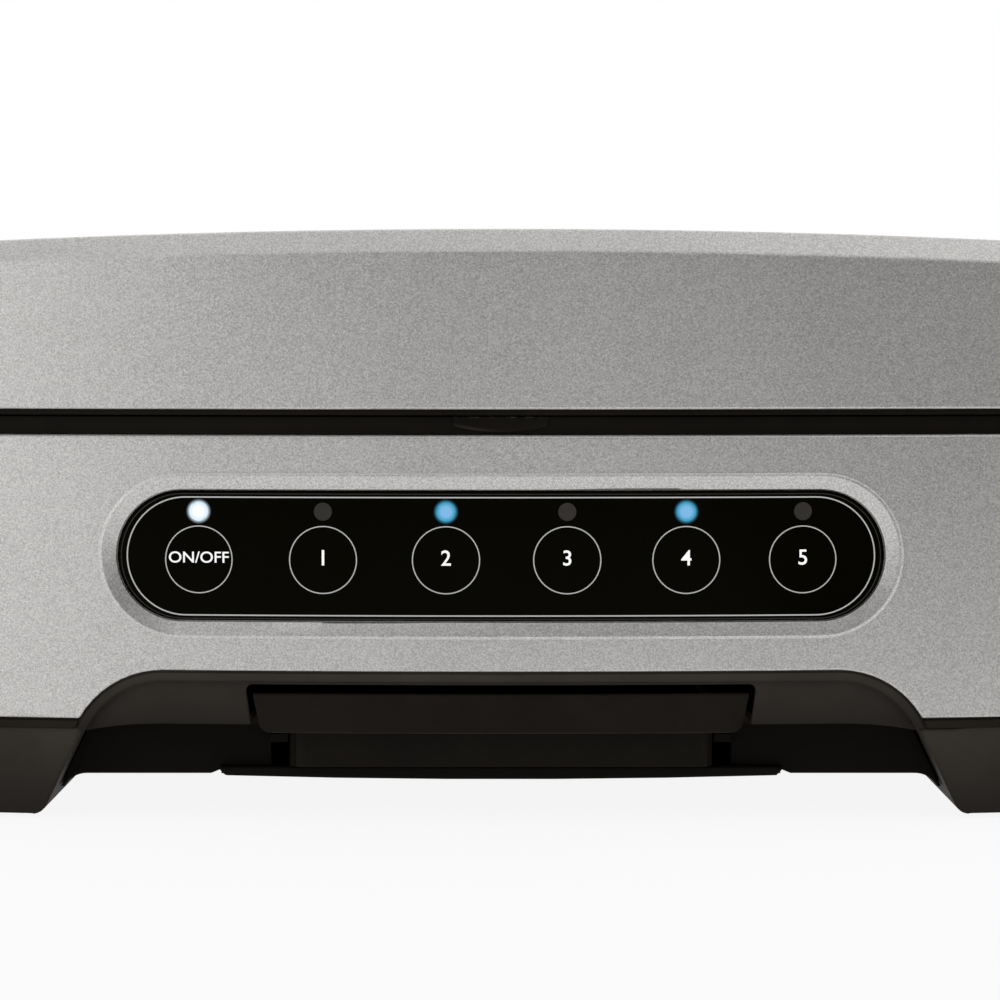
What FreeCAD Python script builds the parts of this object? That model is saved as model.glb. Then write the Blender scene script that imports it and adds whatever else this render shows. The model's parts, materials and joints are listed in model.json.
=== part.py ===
import FreeCAD, Part
import math
import os

# Electric contact grill: a base with a touch panel, a lid on a floating hinge and a drip tray.
# Millimetres. The origin is on the table under the middle of the grill, +Z is up and the front faces -Y.

Vector = FreeCAD.Vector

# Body seen from above
body_width = 340.0
body_depth = 310.0
front_bow = 700.0
front_corner = 30.0
back_corner = 24.0
hinge_shelf = 27.0

# Heights, from the table up
leg_height = 20.4
bead = 2.4
housing_height = 63.3
rim_height = 4.1
lid_gap = 0.3
lid_trim = 1.3
lid_wall_height = 34.9
lid_bevel = 5.0
lid_crown = 2750.0

# Walls, insets and fits
housing_wall = 2.5
lid_wall = 2.5
pan_wall = 2.0
leg_wall = 2.6
edge_round = 0.8
flange_width = 5.0
bead_inset = 0.4
groove_height = 0.6
groove_depth = 0.7
rim_inset = 3.0
trim_inset = 1.0
sliding_fit = 0.3
seat_fit = 0.5
pin_fit = 0.05
screw_fit = 0.05

# Touch panel and its dished surround
panel_length = 170.6
panel_height = 28.9
panel_thickness = 1.4
panel_bevel = 0.5
panel_drop = 26.7
panel_sink = 0.6
panel_fit = 0.3
surround_length = 179.2
surround_height = 36.8
rim_proud = 0.6
rim_slope = 0.6
rim_foot = 0.25
dish_width = 2.9
lip_width = 2.4
lip_thickness = 1.5
key_count = 6
first_key = -67.0
first_pitch = 27.65
pitch_step = -0.43
key_drop = 0.9
window_rise = 9.8
window_radius = 2.0
pad_radius = 5.0
board_length = 196.0
board_height = 26.0
board_thickness = 1.6
board_gap = 1.0
board_screw_edge = 4.5
board_boss = 3.6

# Arch and visor
arch_rise = 11.0
arch_flat = 75.0
arch_radius = 22.0
visor_sink = 2.2
visor_wall = 2.2
visor_tongue = 4.0
visor_rise = 1.25
visor_droop = 1.75

# Drip tray, its opening and its rails
tray_opening_top = 56.9
tray_opening_low = 55.6
tray_opening_height = 9.0
tray_opening_corner = 1.4
tray_top_gap = 1.6
tray_low_gap = 2.2
tray_face_gap = 2.0
tray_face_height = 8.8
tray_face_sink = 1.6
tray_face_wall = 2.4
tray_face_corner = 3.0
tray_half = 47.8
tray_back_gap = 13.0
tray_setback = 13.0
tray_height = 14.6
tray_wall = 1.8
tray_corner = 4.0
tray_wing = 4.0
tray_wing_rise = 7.3
tray_wing_thickness = 1.7
tray_side_play = 0.4
tray_lift = 0.4
rail_width = 4.0
rail_thickness = 1.8
rail_lead = 4.0

# Belly of the bottom pan
belly_setback = 21.0
belly_leg_gap = 0.4
belly_drop = 11.8
belly_back_gap = 11.4
skirt_width = 5.0
skirt_drop = 3.0
skirt_tip = 0.9
shelf_half = 63.6
shelf_bow = 0.9
shelf_lead = 4.0
shelf_corner = 1.2
notch_width = 2.4
notch_height = 1.0

# Legs, feet and screws
front_leg_length = 100.0
rear_leg_length = 48.0
leg_inner = 93.5
leg_splay = 9.3
leg_inset = 1.2
leg_draft = 6.0
leg_toe = 3.6
foot_radius = 8.0
foot_proud = 1.0
foot_sink = 1.8
foot_from_side = 44.0
foot_from_end = 20.0
screw_radius = 2.0
screw_head_radius = 3.6
screw_head_height = 2.2
screw_head_room = 0.4
screw_bite = 8.0
post_radius = 5.5
post_web = 2.5
post_from_side = 22.0
post_from_front = 34.0
post_from_back = 18.0
post_height = 40.0

# Cooking plates
plate_half = 146.0
plate_front_margin = 32.4
plate_back_margin = 48.0
plate_corner = 14.0
plate_ledge = 8.5
plate_flange = 3.7
plate_body = 4.2
ledge_drop = 9.1
ledge_thickness = 2.5
frame_ledge = 2.1
skirt_wall = 2.0
cook_margin = 12.0
cook_lip = 0.2
rib_height = 3.2
rib_pitch = 10.0
rib_base = 4.6
rib_tip = 2.6
rib_gutter = 11.0
upper_drop = 1.2
upper_thickness = 5.2
drain_radius = 5.0
plate_screw_from_corner = 40.0

# Heaters
element_radius = 3.25
element_gap = 0.25
element_half = 95.0
element_bend = 25.0
element_front_margin = 52.0
element_back_margin = 18.0
reflector_depth = 13.0
reflector_wall = 0.8
reflector_margin = 8.0
reflector_corner = 8.0
boss_radius = 5.0
boss_x = 55.0
boss_front_margin = 72.0
boss_back_margin = 46.0
sensor_radius = 6.0
sensor_height = 6.0
sensor_x = 25.0

# Grease chute
chute_wall = 1.6
chute_flange = 4.0
chute_clear = 1.7

# Floating hinge
hinge_x = 110.0
hinge_rise = 10.4
hinge_reach = 14.0
float_travel = 20.0
hinge_post_width = 14.0
hinge_post_depth = 8.0
knuckle_radius = 8.0
pin_radius = 3.0
pin_head_radius = 4.6
pin_head = 1.6
cheek = 5.0
cheek_gap = 0.3
bracket_plate = 3.0
bracket_height = 22.0
bracket_pad = 4.0
guide_wall = 6.0
guide_stop_gap = 1.0
tie_height = 6.0
tie_clear = 2.5
stop_x = 60.0
stop_width = 8.0

# Handles on the ends of the lid
handle_y = -15.0
handle_reach = 25.0
handle_length = 104.0
handle_bar = 12.0
handle_foot = 13.0
handle_height = 13.0
handle_rise = 12.0
handle_corner = 12.0
handle_round = 3.0

# Power electronics and the mains inlet
power_length = 150.0
power_depth = 56.0
power_from_back = 34.0
power_lift = 6.5
power_screw_edge = 6.0
relay_width = 19.0
relay_depth = 15.5
relay_height = 15.5
transformer_width = 32.0
transformer_depth = 27.0
transformer_height = 24.0
terminal_width = 34.0
terminal_depth = 11.0
terminal_height = 14.0
gland_x = 60.0
gland_rise = 38.5
gland_radius = 6.0
gland_bore = 3.6
gland_flange = 9.0
gland_proud = 3.0
gland_length = 9.0

# Half-moon lip on the deck's front edge
moon_length = 20.8
moon_height = 3.4
moon_side = 2.1
moon_proud = 0.6

# Overlap of the forms that are cut from or joined to the solids
past = 1.0

# Places worked out from the sizes above
half_width = body_width / 2
front_y = -body_depth / 2 + rim_proud
back_y = body_depth / 2 - gland_proud
bow_centre_y = front_y + front_bow
lid_back_y = back_y - hinge_shelf
hinge_y = lid_back_y + hinge_reach
plate_front = front_y + plate_front_margin
plate_back = back_y - plate_back_margin
belly_front = front_y + belly_setback
power_back = back_y - power_from_back
power_front = power_back - power_depth
belly_back = power_front - belly_back_gap
tray_front = front_y + tray_setback
tray_back = belly_back - tray_back_gap
bay_half = tray_half + tray_wing + tray_side_play
bay_back = tray_back + past

# Levels worked out from the sizes above
housing_low = leg_height + bead
deck_z = housing_low + housing_height
rim_top = deck_z + rim_height
frame_low = rim_top + lid_gap
lid_low = frame_low + lid_trim
lid_crease = lid_low + lid_wall_height
lid_top = lid_crease + lid_bevel
hinge_z = rim_top + hinge_rise
arch_top = housing_low + arch_rise
panel_z = deck_z - panel_drop
panel_bed = panel_sink + panel_thickness
visor_low = leg_height + visor_rise
tray_opening_z = visor_low + tray_opening_height
tray_face_top = tray_opening_z - tray_face_gap
belly_low = leg_height - belly_drop
belly_floor = belly_low + pan_wall
tray_low = belly_floor + tray_lift
tray_top = tray_low + tray_height
wing_low = tray_low + tray_wing_rise
rail_top = wing_low - sliding_fit
lower_seat = rim_top - ledge_drop
lower_face = lower_seat + plate_flange
lower_back = lower_seat - plate_body
upper_seat = frame_low + frame_ledge
upper_face = upper_seat - upper_drop
frame_top = upper_seat + plate_flange
upper_floor = upper_face + rib_height
upper_back = upper_floor + upper_thickness
tie_low = housing_low + tie_clear
tie_top = tie_low + tie_height
guide_low = tie_top + float_travel + guide_stop_gap
guide_top = deck_z - housing_wall
above_all = lid_top + past

os.makedirs("parts", exist_ok=True)


def save(name, *solids):
    shape = solids[0] if len(solids) == 1 else Part.makeCompound(list(solids))
    shape.exportStep("parts/" + name + ".step")


def block(x0, x1, y0, y1, z0, z1):
    return Part.makeBox(x1 - x0, y1 - y0, z1 - z0, Vector(x0, y0, z0))


def rod(radius, start, end):
    way = end - start
    return Part.makeCylinder(radius, way.Length, start, way)


def screw(seat, way, length):
    """A screw whose head bears on seat and whose shank runs along way."""
    head = Part.makeCylinder(screw_head_radius, screw_head_height, seat - way * screw_head_height, way)
    return head.fuse(Part.makeCylinder(screw_radius, length, seat, way)).removeSplitter()


def screw_hole(seat, way, length):
    return Part.makeCylinder(screw_radius + screw_fit, length, seat, way)


def outline(edges):
    return Part.Wire([edge.toShape() for edge in edges])


def plan_wire(inset, back):
    """Outline from above, moved in by inset: bowed front, straight sides, and a straight back at y = back."""
    corner_x = half_width - front_corner
    corner_y = bow_centre_y - math.sqrt((front_bow - front_corner) ** 2 - corner_x ** 2)
    reach = Vector(corner_x, corner_y - bow_centre_y, 0)
    reach.normalize()
    between = reach + Vector(1, 0, 0)
    between.normalize()
    slant = (back_corner - inset) * math.sqrt(0.5)
    bow = front_bow - inset
    half = half_width - inset
    nose = Vector(0, bow_centre_y - bow, 0)
    bow_end = Vector(0, bow_centre_y, 0) + reach * bow
    corner_mid = Vector(corner_x, corner_y, 0) + between * (front_corner - inset)
    side_front = Vector(half, corner_y, 0)
    side_back = Vector(half, back - back_corner, 0)
    back_mid = Vector(half_width - back_corner + slant, back - back_corner + slant, 0)
    back_end = Vector(half_width - back_corner, back - inset, 0)

    def left(point):
        return Vector(-point.x, point.y, point.z)

    return outline([
        Part.Arc(left(bow_end), nose, bow_end),
        Part.Arc(bow_end, corner_mid, side_front),
        Part.LineSegment(side_front, side_back),
        Part.Arc(side_back, back_mid, back_end),
        Part.LineSegment(back_end, left(back_end)),
        Part.Arc(left(back_end), left(back_mid), left(side_back)),
        Part.LineSegment(left(side_back), left(side_front)),
        Part.Arc(left(side_front), left(corner_mid), left(bow_end)),
    ])


def plan_prism(inset, back, low, high):
    face = Part.Face(plan_wire(inset, back))
    face.translate(Vector(0, 0, low))
    return face.extrude(Vector(0, 0, high - low))


def slab(half, front, back, low, high, corner):
    """A plate with rounded upright edges."""
    plate = block(-half, half, front, back, low, high)
    upright = [edge for edge in plate.Edges if abs(edge.tangentAt(edge.FirstParameter).z) > 0.9]
    return plate.makeFillet(corner, upright)


def opening(inset, low, high):
    """The cooking plates' outline, moved in by inset."""
    corner = max(plate_corner - inset, edge_round)
    return slab(plate_half - inset, plate_front + inset, plate_back - inset, low, high, corner)


def bow_y(x, depth):
    """Y of the surface that lies depth behind the bowed front, at x."""
    return bow_centre_y - math.sqrt((front_bow - depth) ** 2 - x ** 2)


def bow_solid(depth):
    """Everything further than depth behind the bowed front."""
    return Part.makeCylinder(front_bow - depth, above_all, Vector(0, bow_centre_y, 0))


def bow_sheet(near, far):
    return bow_solid(near).cut(bow_solid(far))


def front_point(x, z):
    return Vector(x, front_y - rim_proud - past, z)


def front_prism(wire):
    """Extrudes an outline drawn in front of the grill through its front."""
    return Part.Face(wire).extrude(Vector(0, plate_front_margin, 0))


def polygon(points):
    return Part.makePolygon(points + points[:1])


def stadium(length, height):
    """A lying stadium on the panel's centre."""
    end = height / 2
    run = length / 2 - end
    top_left = front_point(-run, panel_z + end)
    top_right = front_point(run, panel_z + end)
    low_right = front_point(run, panel_z - end)
    low_left = front_point(-run, panel_z - end)
    return front_prism(outline([
        Part.LineSegment(top_left, top_right),
        Part.Arc(top_right, front_point(run + end, panel_z), low_right),
        Part.LineSegment(low_right, low_left),
        Part.Arc(low_left, front_point(-run - end, panel_z), top_left),
    ]))


def arch_end(inset, low):
    """Half width of the arch, moved in by inset, at the level low."""
    return arch_flat + math.sqrt((arch_radius - inset) ** 2 - (low - arch_top + arch_radius) ** 2)


def arch(inset, low):
    """The space under the front arch, moved in by inset and cut off flat at low."""
    centre_z = arch_top - arch_radius
    radius = arch_radius - inset
    end = arch_end(inset, low)
    turn = (math.pi / 2 + math.atan2(low - centre_z, end - arch_flat)) / 2
    mid_x = arch_flat + radius * math.cos(turn)
    mid_z = centre_z + radius * math.sin(turn)
    top = arch_top - inset
    return front_prism(outline([
        Part.LineSegment(front_point(-arch_flat, top), front_point(arch_flat, top)),
        Part.Arc(front_point(arch_flat, top), front_point(mid_x, mid_z), front_point(end, low)),
        Part.LineSegment(front_point(end, low), front_point(-end, low)),
        Part.Arc(front_point(-end, low), front_point(-mid_x, mid_z), front_point(-arch_flat, top)),
    ]))


def mirrored(shape):
    return shape.mirror(Vector(0, 0, 0), Vector(1, 0, 0))


def post_places():
    """Centres of the four screw posts that tie legs, pan and housing together."""
    x = half_width - post_from_side
    rows = (front_y + post_from_front, back_y - post_from_back)
    return [(side * x, y) for side in (-1, 1) for y in rows]


def lid_boss_places():
    x = half_width - post_from_side
    rows = (front_y + post_from_front, lid_back_y - post_from_back)
    return [(side * x, y) for side in (-1, 1) for y in rows]


def key_places():
    """Middles of the keys; from left to right they stand a little closer each time."""
    steps = [first_pitch * index + pitch_step * index * (index - 1) / 2 for index in range(key_count)]
    return [first_key + step for step in steps]


def board_y():
    """Y of the touch board's front face, clear of the bowed housing wall."""
    return bow_y(board_length / 2, housing_wall) + board_gap


def board_screw_places():
    x = board_length / 2 - board_screw_edge
    z = board_height / 2 - board_screw_edge
    return [(i * x, panel_z + j * z) for i in (-1, 1) for j in (-1, 1)]


def guide_screw_places():
    middle = (guide_low + guide_top) / 2
    step = (guide_top - guide_low) / 4
    return [(side * hinge_x, middle + j * step) for side in (-1, 1) for j in (-1, 1)]


def power_screw_places():
    x = power_length / 2 - power_screw_edge
    rows = (power_front + power_screw_edge, power_back - power_screw_edge)
    return [(i * x, y) for i in (-1, 1) for y in rows]


def plate_screw_places():
    """Screws through the ledge that carries each plate, near the plate's corners."""
    x = plate_half - plate_ledge / 2
    rows = (plate_front + plate_screw_from_corner, plate_back - plate_screw_from_corner)
    return [(side * x, y) for side in (-1, 1) for y in rows]


def boss_places():
    rows = (plate_front + boss_front_margin, plate_back - boss_back_margin)
    return [(side * boss_x, y) for side in (-1, 1) for y in rows]


def bracket_screw_places():
    low = frame_top + sliding_fit
    high = hinge_z - knuckle_radius + bracket_height
    middle = (low + high) / 2
    step = (high - low) / 4
    return [(side * hinge_x, middle + j * step) for side in (-1, 1) for j in (-1, 1)]


def handle_screw_places():
    reach = handle_length / 2 - handle_foot / 2
    return [(side, handle_y + j * reach) for side in (-1, 1) for j in (-1, 1)]


def base_housing():
    shell = plan_prism(0, back_y, housing_low, deck_z)
    top_edges = [edge for edge in shell.Edges if edge.BoundBox.ZMin > deck_z - past]
    shell = shell.makeFillet(edge_round, top_edges)
    shell = shell.cut(plan_prism(housing_wall, back_y, housing_low - past, deck_z - housing_wall))
    shell = shell.cut(plan_prism(housing_wall + flange_width, back_y, housing_low, deck_z + past))
    shell = shell.cut(arch(0, housing_low - past))

    ring = stadium(surround_length, surround_height)
    shell = shell.cut(ring)
    bed = stadium(panel_length + 2 * panel_fit, panel_height + 2 * panel_fit)
    ring = ring.common(bow_sheet(-rim_proud, panel_bed + lip_thickness))
    ring = ring.cut(bed.common(bow_sheet(-rim_proud - past, panel_bed)))
    ring = ring.cut(stadium(panel_length - 2 * lip_width, panel_height - 2 * lip_width))
    shell = shell.fuse(dished(ring))

    inside = plan_prism(past, back_y, housing_low, housing_low + post_height)
    for x, y in post_places():
        side = math.copysign(half_width, x)
        web = block(min(x, side), max(x, side), y - post_web / 2, y + post_web / 2,
                    housing_low, housing_low + post_height)
        post = Part.makeCylinder(post_radius, post_height, Vector(x, y, housing_low))
        shell = shell.fuse(post.fuse(web).common(inside))
        shell = shell.cut(screw_hole(Vector(x, y, housing_low), Vector(0, 0, 1), post_height - past))
    behind_wall = bow_solid(housing_wall - past)
    for x, z in board_screw_places():
        boss = rod(board_boss, Vector(x, front_y, z), Vector(x, board_y(), z)).common(behind_wall)
        hole_start = Vector(x, board_y(), z)
        shell = shell.fuse(boss).cut(screw_hole(hole_start, Vector(0, -1, 0), board_gap + housing_wall / 2))
    for x, z in guide_screw_places():
        shell = shell.cut(screw_hole(Vector(x, back_y, z), Vector(0, -1, 0), 2 * housing_wall))
    gland_z = housing_low + gland_rise
    hole = rod(gland_radius + screw_fit, Vector(gland_x, back_y - 2 * housing_wall, gland_z),
               Vector(gland_x, back_y + past, gland_z))
    return shell.cut(hole).removeSplitter()


def rim_edges(ring, pick):
    """The inner outline of the surround's raised rim where pick is min, the outer one where it is max."""
    rim = next(face for face in ring.Faces if face.Surface.TypeId == "Part::GeomCylinder"
               and abs(face.Surface.Radius - front_bow - rim_proud) < sliding_fit)
    return pick(rim.Wires, key=lambda wire: wire.BoundBox.XLength).Edges


def dished(ring):
    """Slopes the panel surround from its raised rim down to the panel, and outside almost to the wall."""
    ring = ring.makeChamfer(dish_width, rim_proud + panel_sink, rim_edges(ring, min))
    return ring.makeChamfer(rim_slope, rim_proud - rim_foot, rim_edges(ring, max))


def bottom_pan():
    groove_low = housing_low - groove_height
    pan = plan_prism(bead_inset, back_y, leg_height, groove_low)
    pan = pan.fuse(plan_prism(bead_inset + groove_depth, back_y, groove_low, housing_low))
    before_belly = block(-half_width, half_width, front_y, belly_front, leg_height - past, housing_low + past)
    pan = pan.cut(arch(0, leg_height - past).common(before_belly))
    pan = pan.fuse(belly_form())
    pan = pan.cut(belly_hollow())
    for side in (-1, 1):
        wall = sorted((side * bay_half, side * (bay_half + pan_wall)))
        pan = pan.fuse(block(wall[0], wall[1], belly_front, bay_back, belly_floor - past, tray_top))
    pan = pan.fuse(block(-bay_half - pan_wall, bay_half + pan_wall, bay_back, bay_back + pan_wall,
                         belly_floor - past, tray_top))
    pan = pan.cut(block(-bay_half, bay_half, belly_front - past, belly_front + pan_wall,
                        belly_floor, tray_face_top))
    pan = pan.fuse(shelf())
    for side in (-1, 1):
        pan = pan.cut(shelf_notch(side))
    for x, y in post_places():
        pan = pan.cut(screw_hole(Vector(x, y, leg_height - past), Vector(0, 0, 1), bead + 2 * past))
    for x, y in power_screw_places():
        boss = Part.makeCylinder(board_boss, power_lift + past, Vector(x, y, housing_low - past))
        pan = pan.fuse(boss).cut(screw_hole(Vector(x, y, housing_low), Vector(0, 0, 1), power_lift + past))
    for side in (-1, 1):
        x = side * stop_x
        pan = pan.fuse(block(x - stop_width / 2, x + stop_width / 2, hinge_y - hinge_post_depth / 2,
                             hinge_y + hinge_post_depth / 2, housing_low - past, tie_low))
    return pan.removeSplitter()


def belly_side(z):
    """Half width of the belly at a level; below the flange it follows the inner faces of the legs."""
    splay = leg_splay * (leg_height - min(z, leg_height)) / (leg_height - foot_proud)
    return leg_inner - belly_leg_gap + splay


def belly_form():
    """The belly, whose bottom curves down into a skirt along each leg."""
    side = belly_side(housing_low)
    low = belly_low - skirt_drop
    end = belly_side(low)
    tip = end - skirt_tip
    start = tip - skirt_width
    radius = (skirt_width ** 2 + skirt_drop ** 2) / (2 * skirt_drop)
    turn = math.asin(skirt_width / radius) / 2
    mid_x = start + radius * math.sin(turn)
    mid_z = belly_low - radius * (1 - math.cos(turn))
    wire = outline([
        Part.LineSegment(Vector(-side, belly_front, housing_low), Vector(-side, belly_front, leg_height)),
        Part.LineSegment(Vector(-side, belly_front, leg_height), Vector(-end, belly_front, low)),
        Part.LineSegment(Vector(-end, belly_front, low), Vector(-tip, belly_front, low)),
        Part.Arc(Vector(-tip, belly_front, low), Vector(-mid_x, belly_front, mid_z),
                 Vector(-start, belly_front, belly_low)),
        Part.LineSegment(Vector(-start, belly_front, belly_low), Vector(start, belly_front, belly_low)),
        Part.Arc(Vector(start, belly_front, belly_low), Vector(mid_x, belly_front, mid_z),
                 Vector(tip, belly_front, low)),
        Part.LineSegment(Vector(tip, belly_front, low), Vector(end, belly_front, low)),
        Part.LineSegment(Vector(end, belly_front, low), Vector(side, belly_front, leg_height)),
        Part.LineSegment(Vector(side, belly_front, leg_height), Vector(side, belly_front, housing_low)),
        Part.LineSegment(Vector(side, belly_front, housing_low), Vector(-side, belly_front, housing_low)),
    ])
    return Part.Face(wire).extrude(Vector(0, belly_back - belly_front, 0))


def belly_hollow():
    """The space inside the belly, open to the base above."""
    near = belly_front + pan_wall
    high = belly_side(housing_low) - pan_wall
    low = belly_side(belly_floor) - pan_wall
    wire = polygon([Vector(-high, near, housing_low + past), Vector(-high, near, leg_height),
                    Vector(-low, near, belly_floor), Vector(low, near, belly_floor),
                    Vector(high, near, leg_height), Vector(high, near, housing_low + past)])
    return Part.Face(wire).extrude(Vector(0, belly_back - pan_wall - near, 0))


def shelf():
    """The bowed lip in front of the belly, under the tray."""
    rounded = belly_low + shelf_corner
    inner = shelf_half - shelf_corner
    middle = Vector(0, 0, belly_low - shelf_bow)
    wire = outline([
        Part.LineSegment(Vector(-shelf_half, 0, rounded), Vector(-shelf_half, 0, belly_floor)),
        Part.LineSegment(Vector(-shelf_half, 0, belly_floor), Vector(shelf_half, 0, belly_floor)),
        Part.LineSegment(Vector(shelf_half, 0, belly_floor), Vector(shelf_half, 0, rounded)),
        Part.LineSegment(Vector(shelf_half, 0, rounded), Vector(inner, 0, belly_low)),
        Part.Arc(Vector(inner, 0, belly_low), middle, Vector(-inner, 0, belly_low)),
        Part.LineSegment(Vector(-inner, 0, belly_low), Vector(-shelf_half, 0, rounded)),
    ])
    lip = Part.Face(wire).extrude(Vector(0, shelf_lead + pan_wall, 0))
    lip.translate(Vector(0, belly_front - shelf_lead, 0))
    return lip


def shelf_notch(side):
    """The groove under the belly at an end of the lip."""
    near = side * shelf_half
    far = side * (shelf_half + notch_width)
    start = belly_front - past
    low = belly_low - past
    wire = polygon([Vector(near, start, low), Vector(near, start, belly_low + notch_height),
                    Vector(far, start, belly_low), Vector(far, start, low)])
    return Part.Face(wire).extrude(Vector(0, belly_back + past - start, 0))


def tray_trapezoid(top_half, low_half, top, low):
    return front_prism(polygon([front_point(-top_half, top), front_point(top_half, top),
                                front_point(low_half, low), front_point(-low_half, low)]))


def visor_corner(side):
    """The end of the visor, whose lower edge curves down to the leg."""
    low = visor_low - visor_droop
    end = arch_end(bead, low)
    radius = ((end - arch_flat) ** 2 + visor_droop ** 2) / (2 * visor_droop)
    mid = (end - arch_flat) / 2
    dip = radius - math.sqrt(radius ** 2 - mid ** 2)
    tangent = front_point(side * arch_flat, visor_low)
    tip = front_point(side * end, low)
    over_tip = front_point(side * end, visor_low + past)
    over_tangent = front_point(side * arch_flat, visor_low + past)
    return front_prism(outline([
        Part.Arc(tangent, front_point(side * (arch_flat + mid), visor_low - dip), tip),
        Part.LineSegment(tip, over_tip),
        Part.LineSegment(over_tip, over_tangent),
        Part.LineSegment(over_tangent, tangent),
    ])).common(arch(bead, low))


def front_visor():
    back = visor_sink + visor_wall
    face = arch(bead, visor_low).fuse([visor_corner(-1), visor_corner(1)]).common(bow_sheet(visor_sink, back))
    groove = arch(groove_height, leg_height)
    bead_band = groove.cut(arch(bead, leg_height)).common(bow_sheet(bead_inset, back))
    groove_floor = arch(0, leg_height).cut(groove).common(bow_sheet(bead_inset + groove_depth, back))
    above_pan = block(-half_width, half_width, front_y, belly_front, housing_low, deck_z)
    tongue = arch(-visor_tongue, leg_height).common(bow_sheet(housing_wall, back)).common(above_pan)
    reach = arch_end(bead, visor_low)
    web = block(-reach, reach, front_y, belly_front, visor_low, visor_low + visor_wall)
    visor = face.fuse([bead_band, groove_floor, tongue, web.common(bow_solid(visor_sink))])
    slope = (tray_opening_top - tray_opening_low) / tray_opening_height
    low = visor_low - past
    low_half = tray_opening_low - slope * past
    mouth = tray_trapezoid(tray_opening_top, low_half, tray_opening_z, low)
    corners = [edge for edge in mouth.Edges
               if edge.BoundBox.ZMin > tray_opening_z - past and edge.BoundBox.XLength < past]
    return visor.cut(mouth.makeFillet(tray_opening_corner, corners)).removeSplitter()


def leg_form(inset, side, end):
    """One leg, moved in by inset; end is -1 in front and 1 behind."""
    inner = leg_inner + inset
    outer = half_width - leg_inset - inset
    low = foot_proud + inset
    points = [(inner, leg_height), (inner + leg_splay, low), (outer - leg_draft, low), (outer, leg_height)]
    near = front_y if end < 0 else back_y - rear_leg_length + inset
    far = front_y + front_leg_length - inset if end < 0 else back_y
    wire = polygon([Vector(side * x, near, z) for x, z in points])
    form = Part.Face(wire).extrude(Vector(0, far - near, 0))
    return form.common(plan_prism(leg_inset + inset, back_y, 0, leg_height))


def foot_place(side, end):
    x = half_width - foot_from_side
    y = bow_y(x, 0) + foot_from_end if end < 0 else back_y - foot_from_end
    return Vector(side * x, y, 0)


def leg_screw_seat():
    return foot_proud + screw_head_height + screw_head_room


def round_toe(form, side):
    """Rounds the lower inner edge of a leg."""
    toe_x = side * (leg_inner + leg_splay)
    toe = [edge for edge in form.Edges if edge.BoundBox.XLength < past and edge.BoundBox.ZLength < past
           and abs(edge.CenterOfMass.x - toe_x) < past]
    return form.makeFillet(leg_toe, toe)


def leg(side, end):
    form = round_toe(leg_form(0, side, end), side)
    hollow = leg_form(leg_wall, side, end)
    x, y = next(place for place in post_places() if place[0] * side > 0 and place[1] * end > 0)
    column = Part.makeCylinder(post_radius, leg_height, Vector(x, y, 0))
    form = form.cut(hollow.cut(column))
    pad = foot_place(side, end)
    seat = pad + Vector(0, 0, foot_proud)
    seat_floor = Part.makeCylinder(foot_radius + leg_wall, foot_sink + leg_wall, seat)
    form = form.fuse(seat_floor)
    form = form.cut(Part.makeCylinder(foot_radius + screw_fit, foot_proud + foot_sink, pad))
    form = form.cut(screw_hole(Vector(x, y, 0), Vector(0, 0, 1), leg_height))
    head_room = Part.makeCylinder(screw_head_radius + sliding_fit, leg_screw_seat(), Vector(x, y, 0))
    return form.cut(head_room).removeSplitter()


def plate_surround():
    deck = plan_prism(rim_inset, back_y, deck_z, rim_top)
    skirt = opening(-skirt_wall, lower_seat - ledge_thickness, deck_z)
    deck = deck.fuse(skirt)
    deck = deck.cut(opening(0, lower_seat, rim_top + past))
    deck = deck.cut(opening(plate_ledge, lower_seat - ledge_thickness - past, rim_top))
    for side in (-1, 1):
        reach_x = hinge_post_width / 2 + sliding_fit
        reach_y = hinge_post_depth / 2 + sliding_fit
        x = side * hinge_x
        deck = deck.cut(block(x - reach_x, x + reach_x, hinge_y - reach_y, hinge_y + reach_y,
                              deck_z - past, rim_top + past))
    for x, y in plate_screw_places():
        seat = Vector(x, y, lower_seat - ledge_thickness)
        deck = deck.cut(screw_hole(seat, Vector(0, 0, 1), ledge_thickness))
    end = moon_length / 2
    side = rim_top - moon_side
    moon = front_prism(outline([
        Part.LineSegment(front_point(-end, side), front_point(-end, rim_top)),
        Part.LineSegment(front_point(-end, rim_top), front_point(end, rim_top)),
        Part.LineSegment(front_point(end, rim_top), front_point(end, side)),
        Part.Arc(front_point(end, side), front_point(0, rim_top - moon_height), front_point(-end, side)),
    ]))
    moon = moon.common(bow_sheet(rim_inset - moon_proud, rim_inset + past))
    return deck.fuse(moon).removeSplitter()


def rib(x, floor, tip):
    root = floor + math.copysign(cook_lip, floor - tip)
    start = plate_front + cook_margin + rib_gutter
    points = [(x - rib_base / 2, root), (x - rib_tip / 2, tip),
              (x + rib_tip / 2, tip), (x + rib_base / 2, root)]
    wire = polygon([Vector(px, start, z) for px, z in points])
    return Part.Face(wire).extrude(Vector(0, plate_back - cook_margin + past - start, 0))


def cook_plate(seat, low, high, floor, tip):
    """A ribbed plate: its flange lies on seat, its body runs from low to high, its ribs from floor to tip."""
    plate = opening(seat_fit, seat, seat + plate_flange)
    plate = plate.fuse(opening(plate_ledge + seat_fit, low, high))
    mouth = 2 * tip - floor
    plate = plate.cut(opening(cook_margin, min(floor, mouth), max(floor, mouth)))
    count = int((plate_half - cook_margin - rib_base) / rib_pitch)
    ribs = [rib(index * rib_pitch, floor, tip) for index in range(-count, count + 1)]
    return plate.fuse(ribs)


def with_heater_bosses(plate, back, way):
    """Bosses on the plate's back that carry the reflector; way is -1 downwards and 1 upwards."""
    reach = Vector(0, 0, way * (reflector_depth - reflector_wall))
    for x, y in boss_places():
        start = Vector(x, y, back)
        plate = plate.fuse(rod(boss_radius, start, start + reach))
        plate = plate.cut(screw_hole(start + reach, Vector(0, 0, -way), screw_bite))
    return plate


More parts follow.
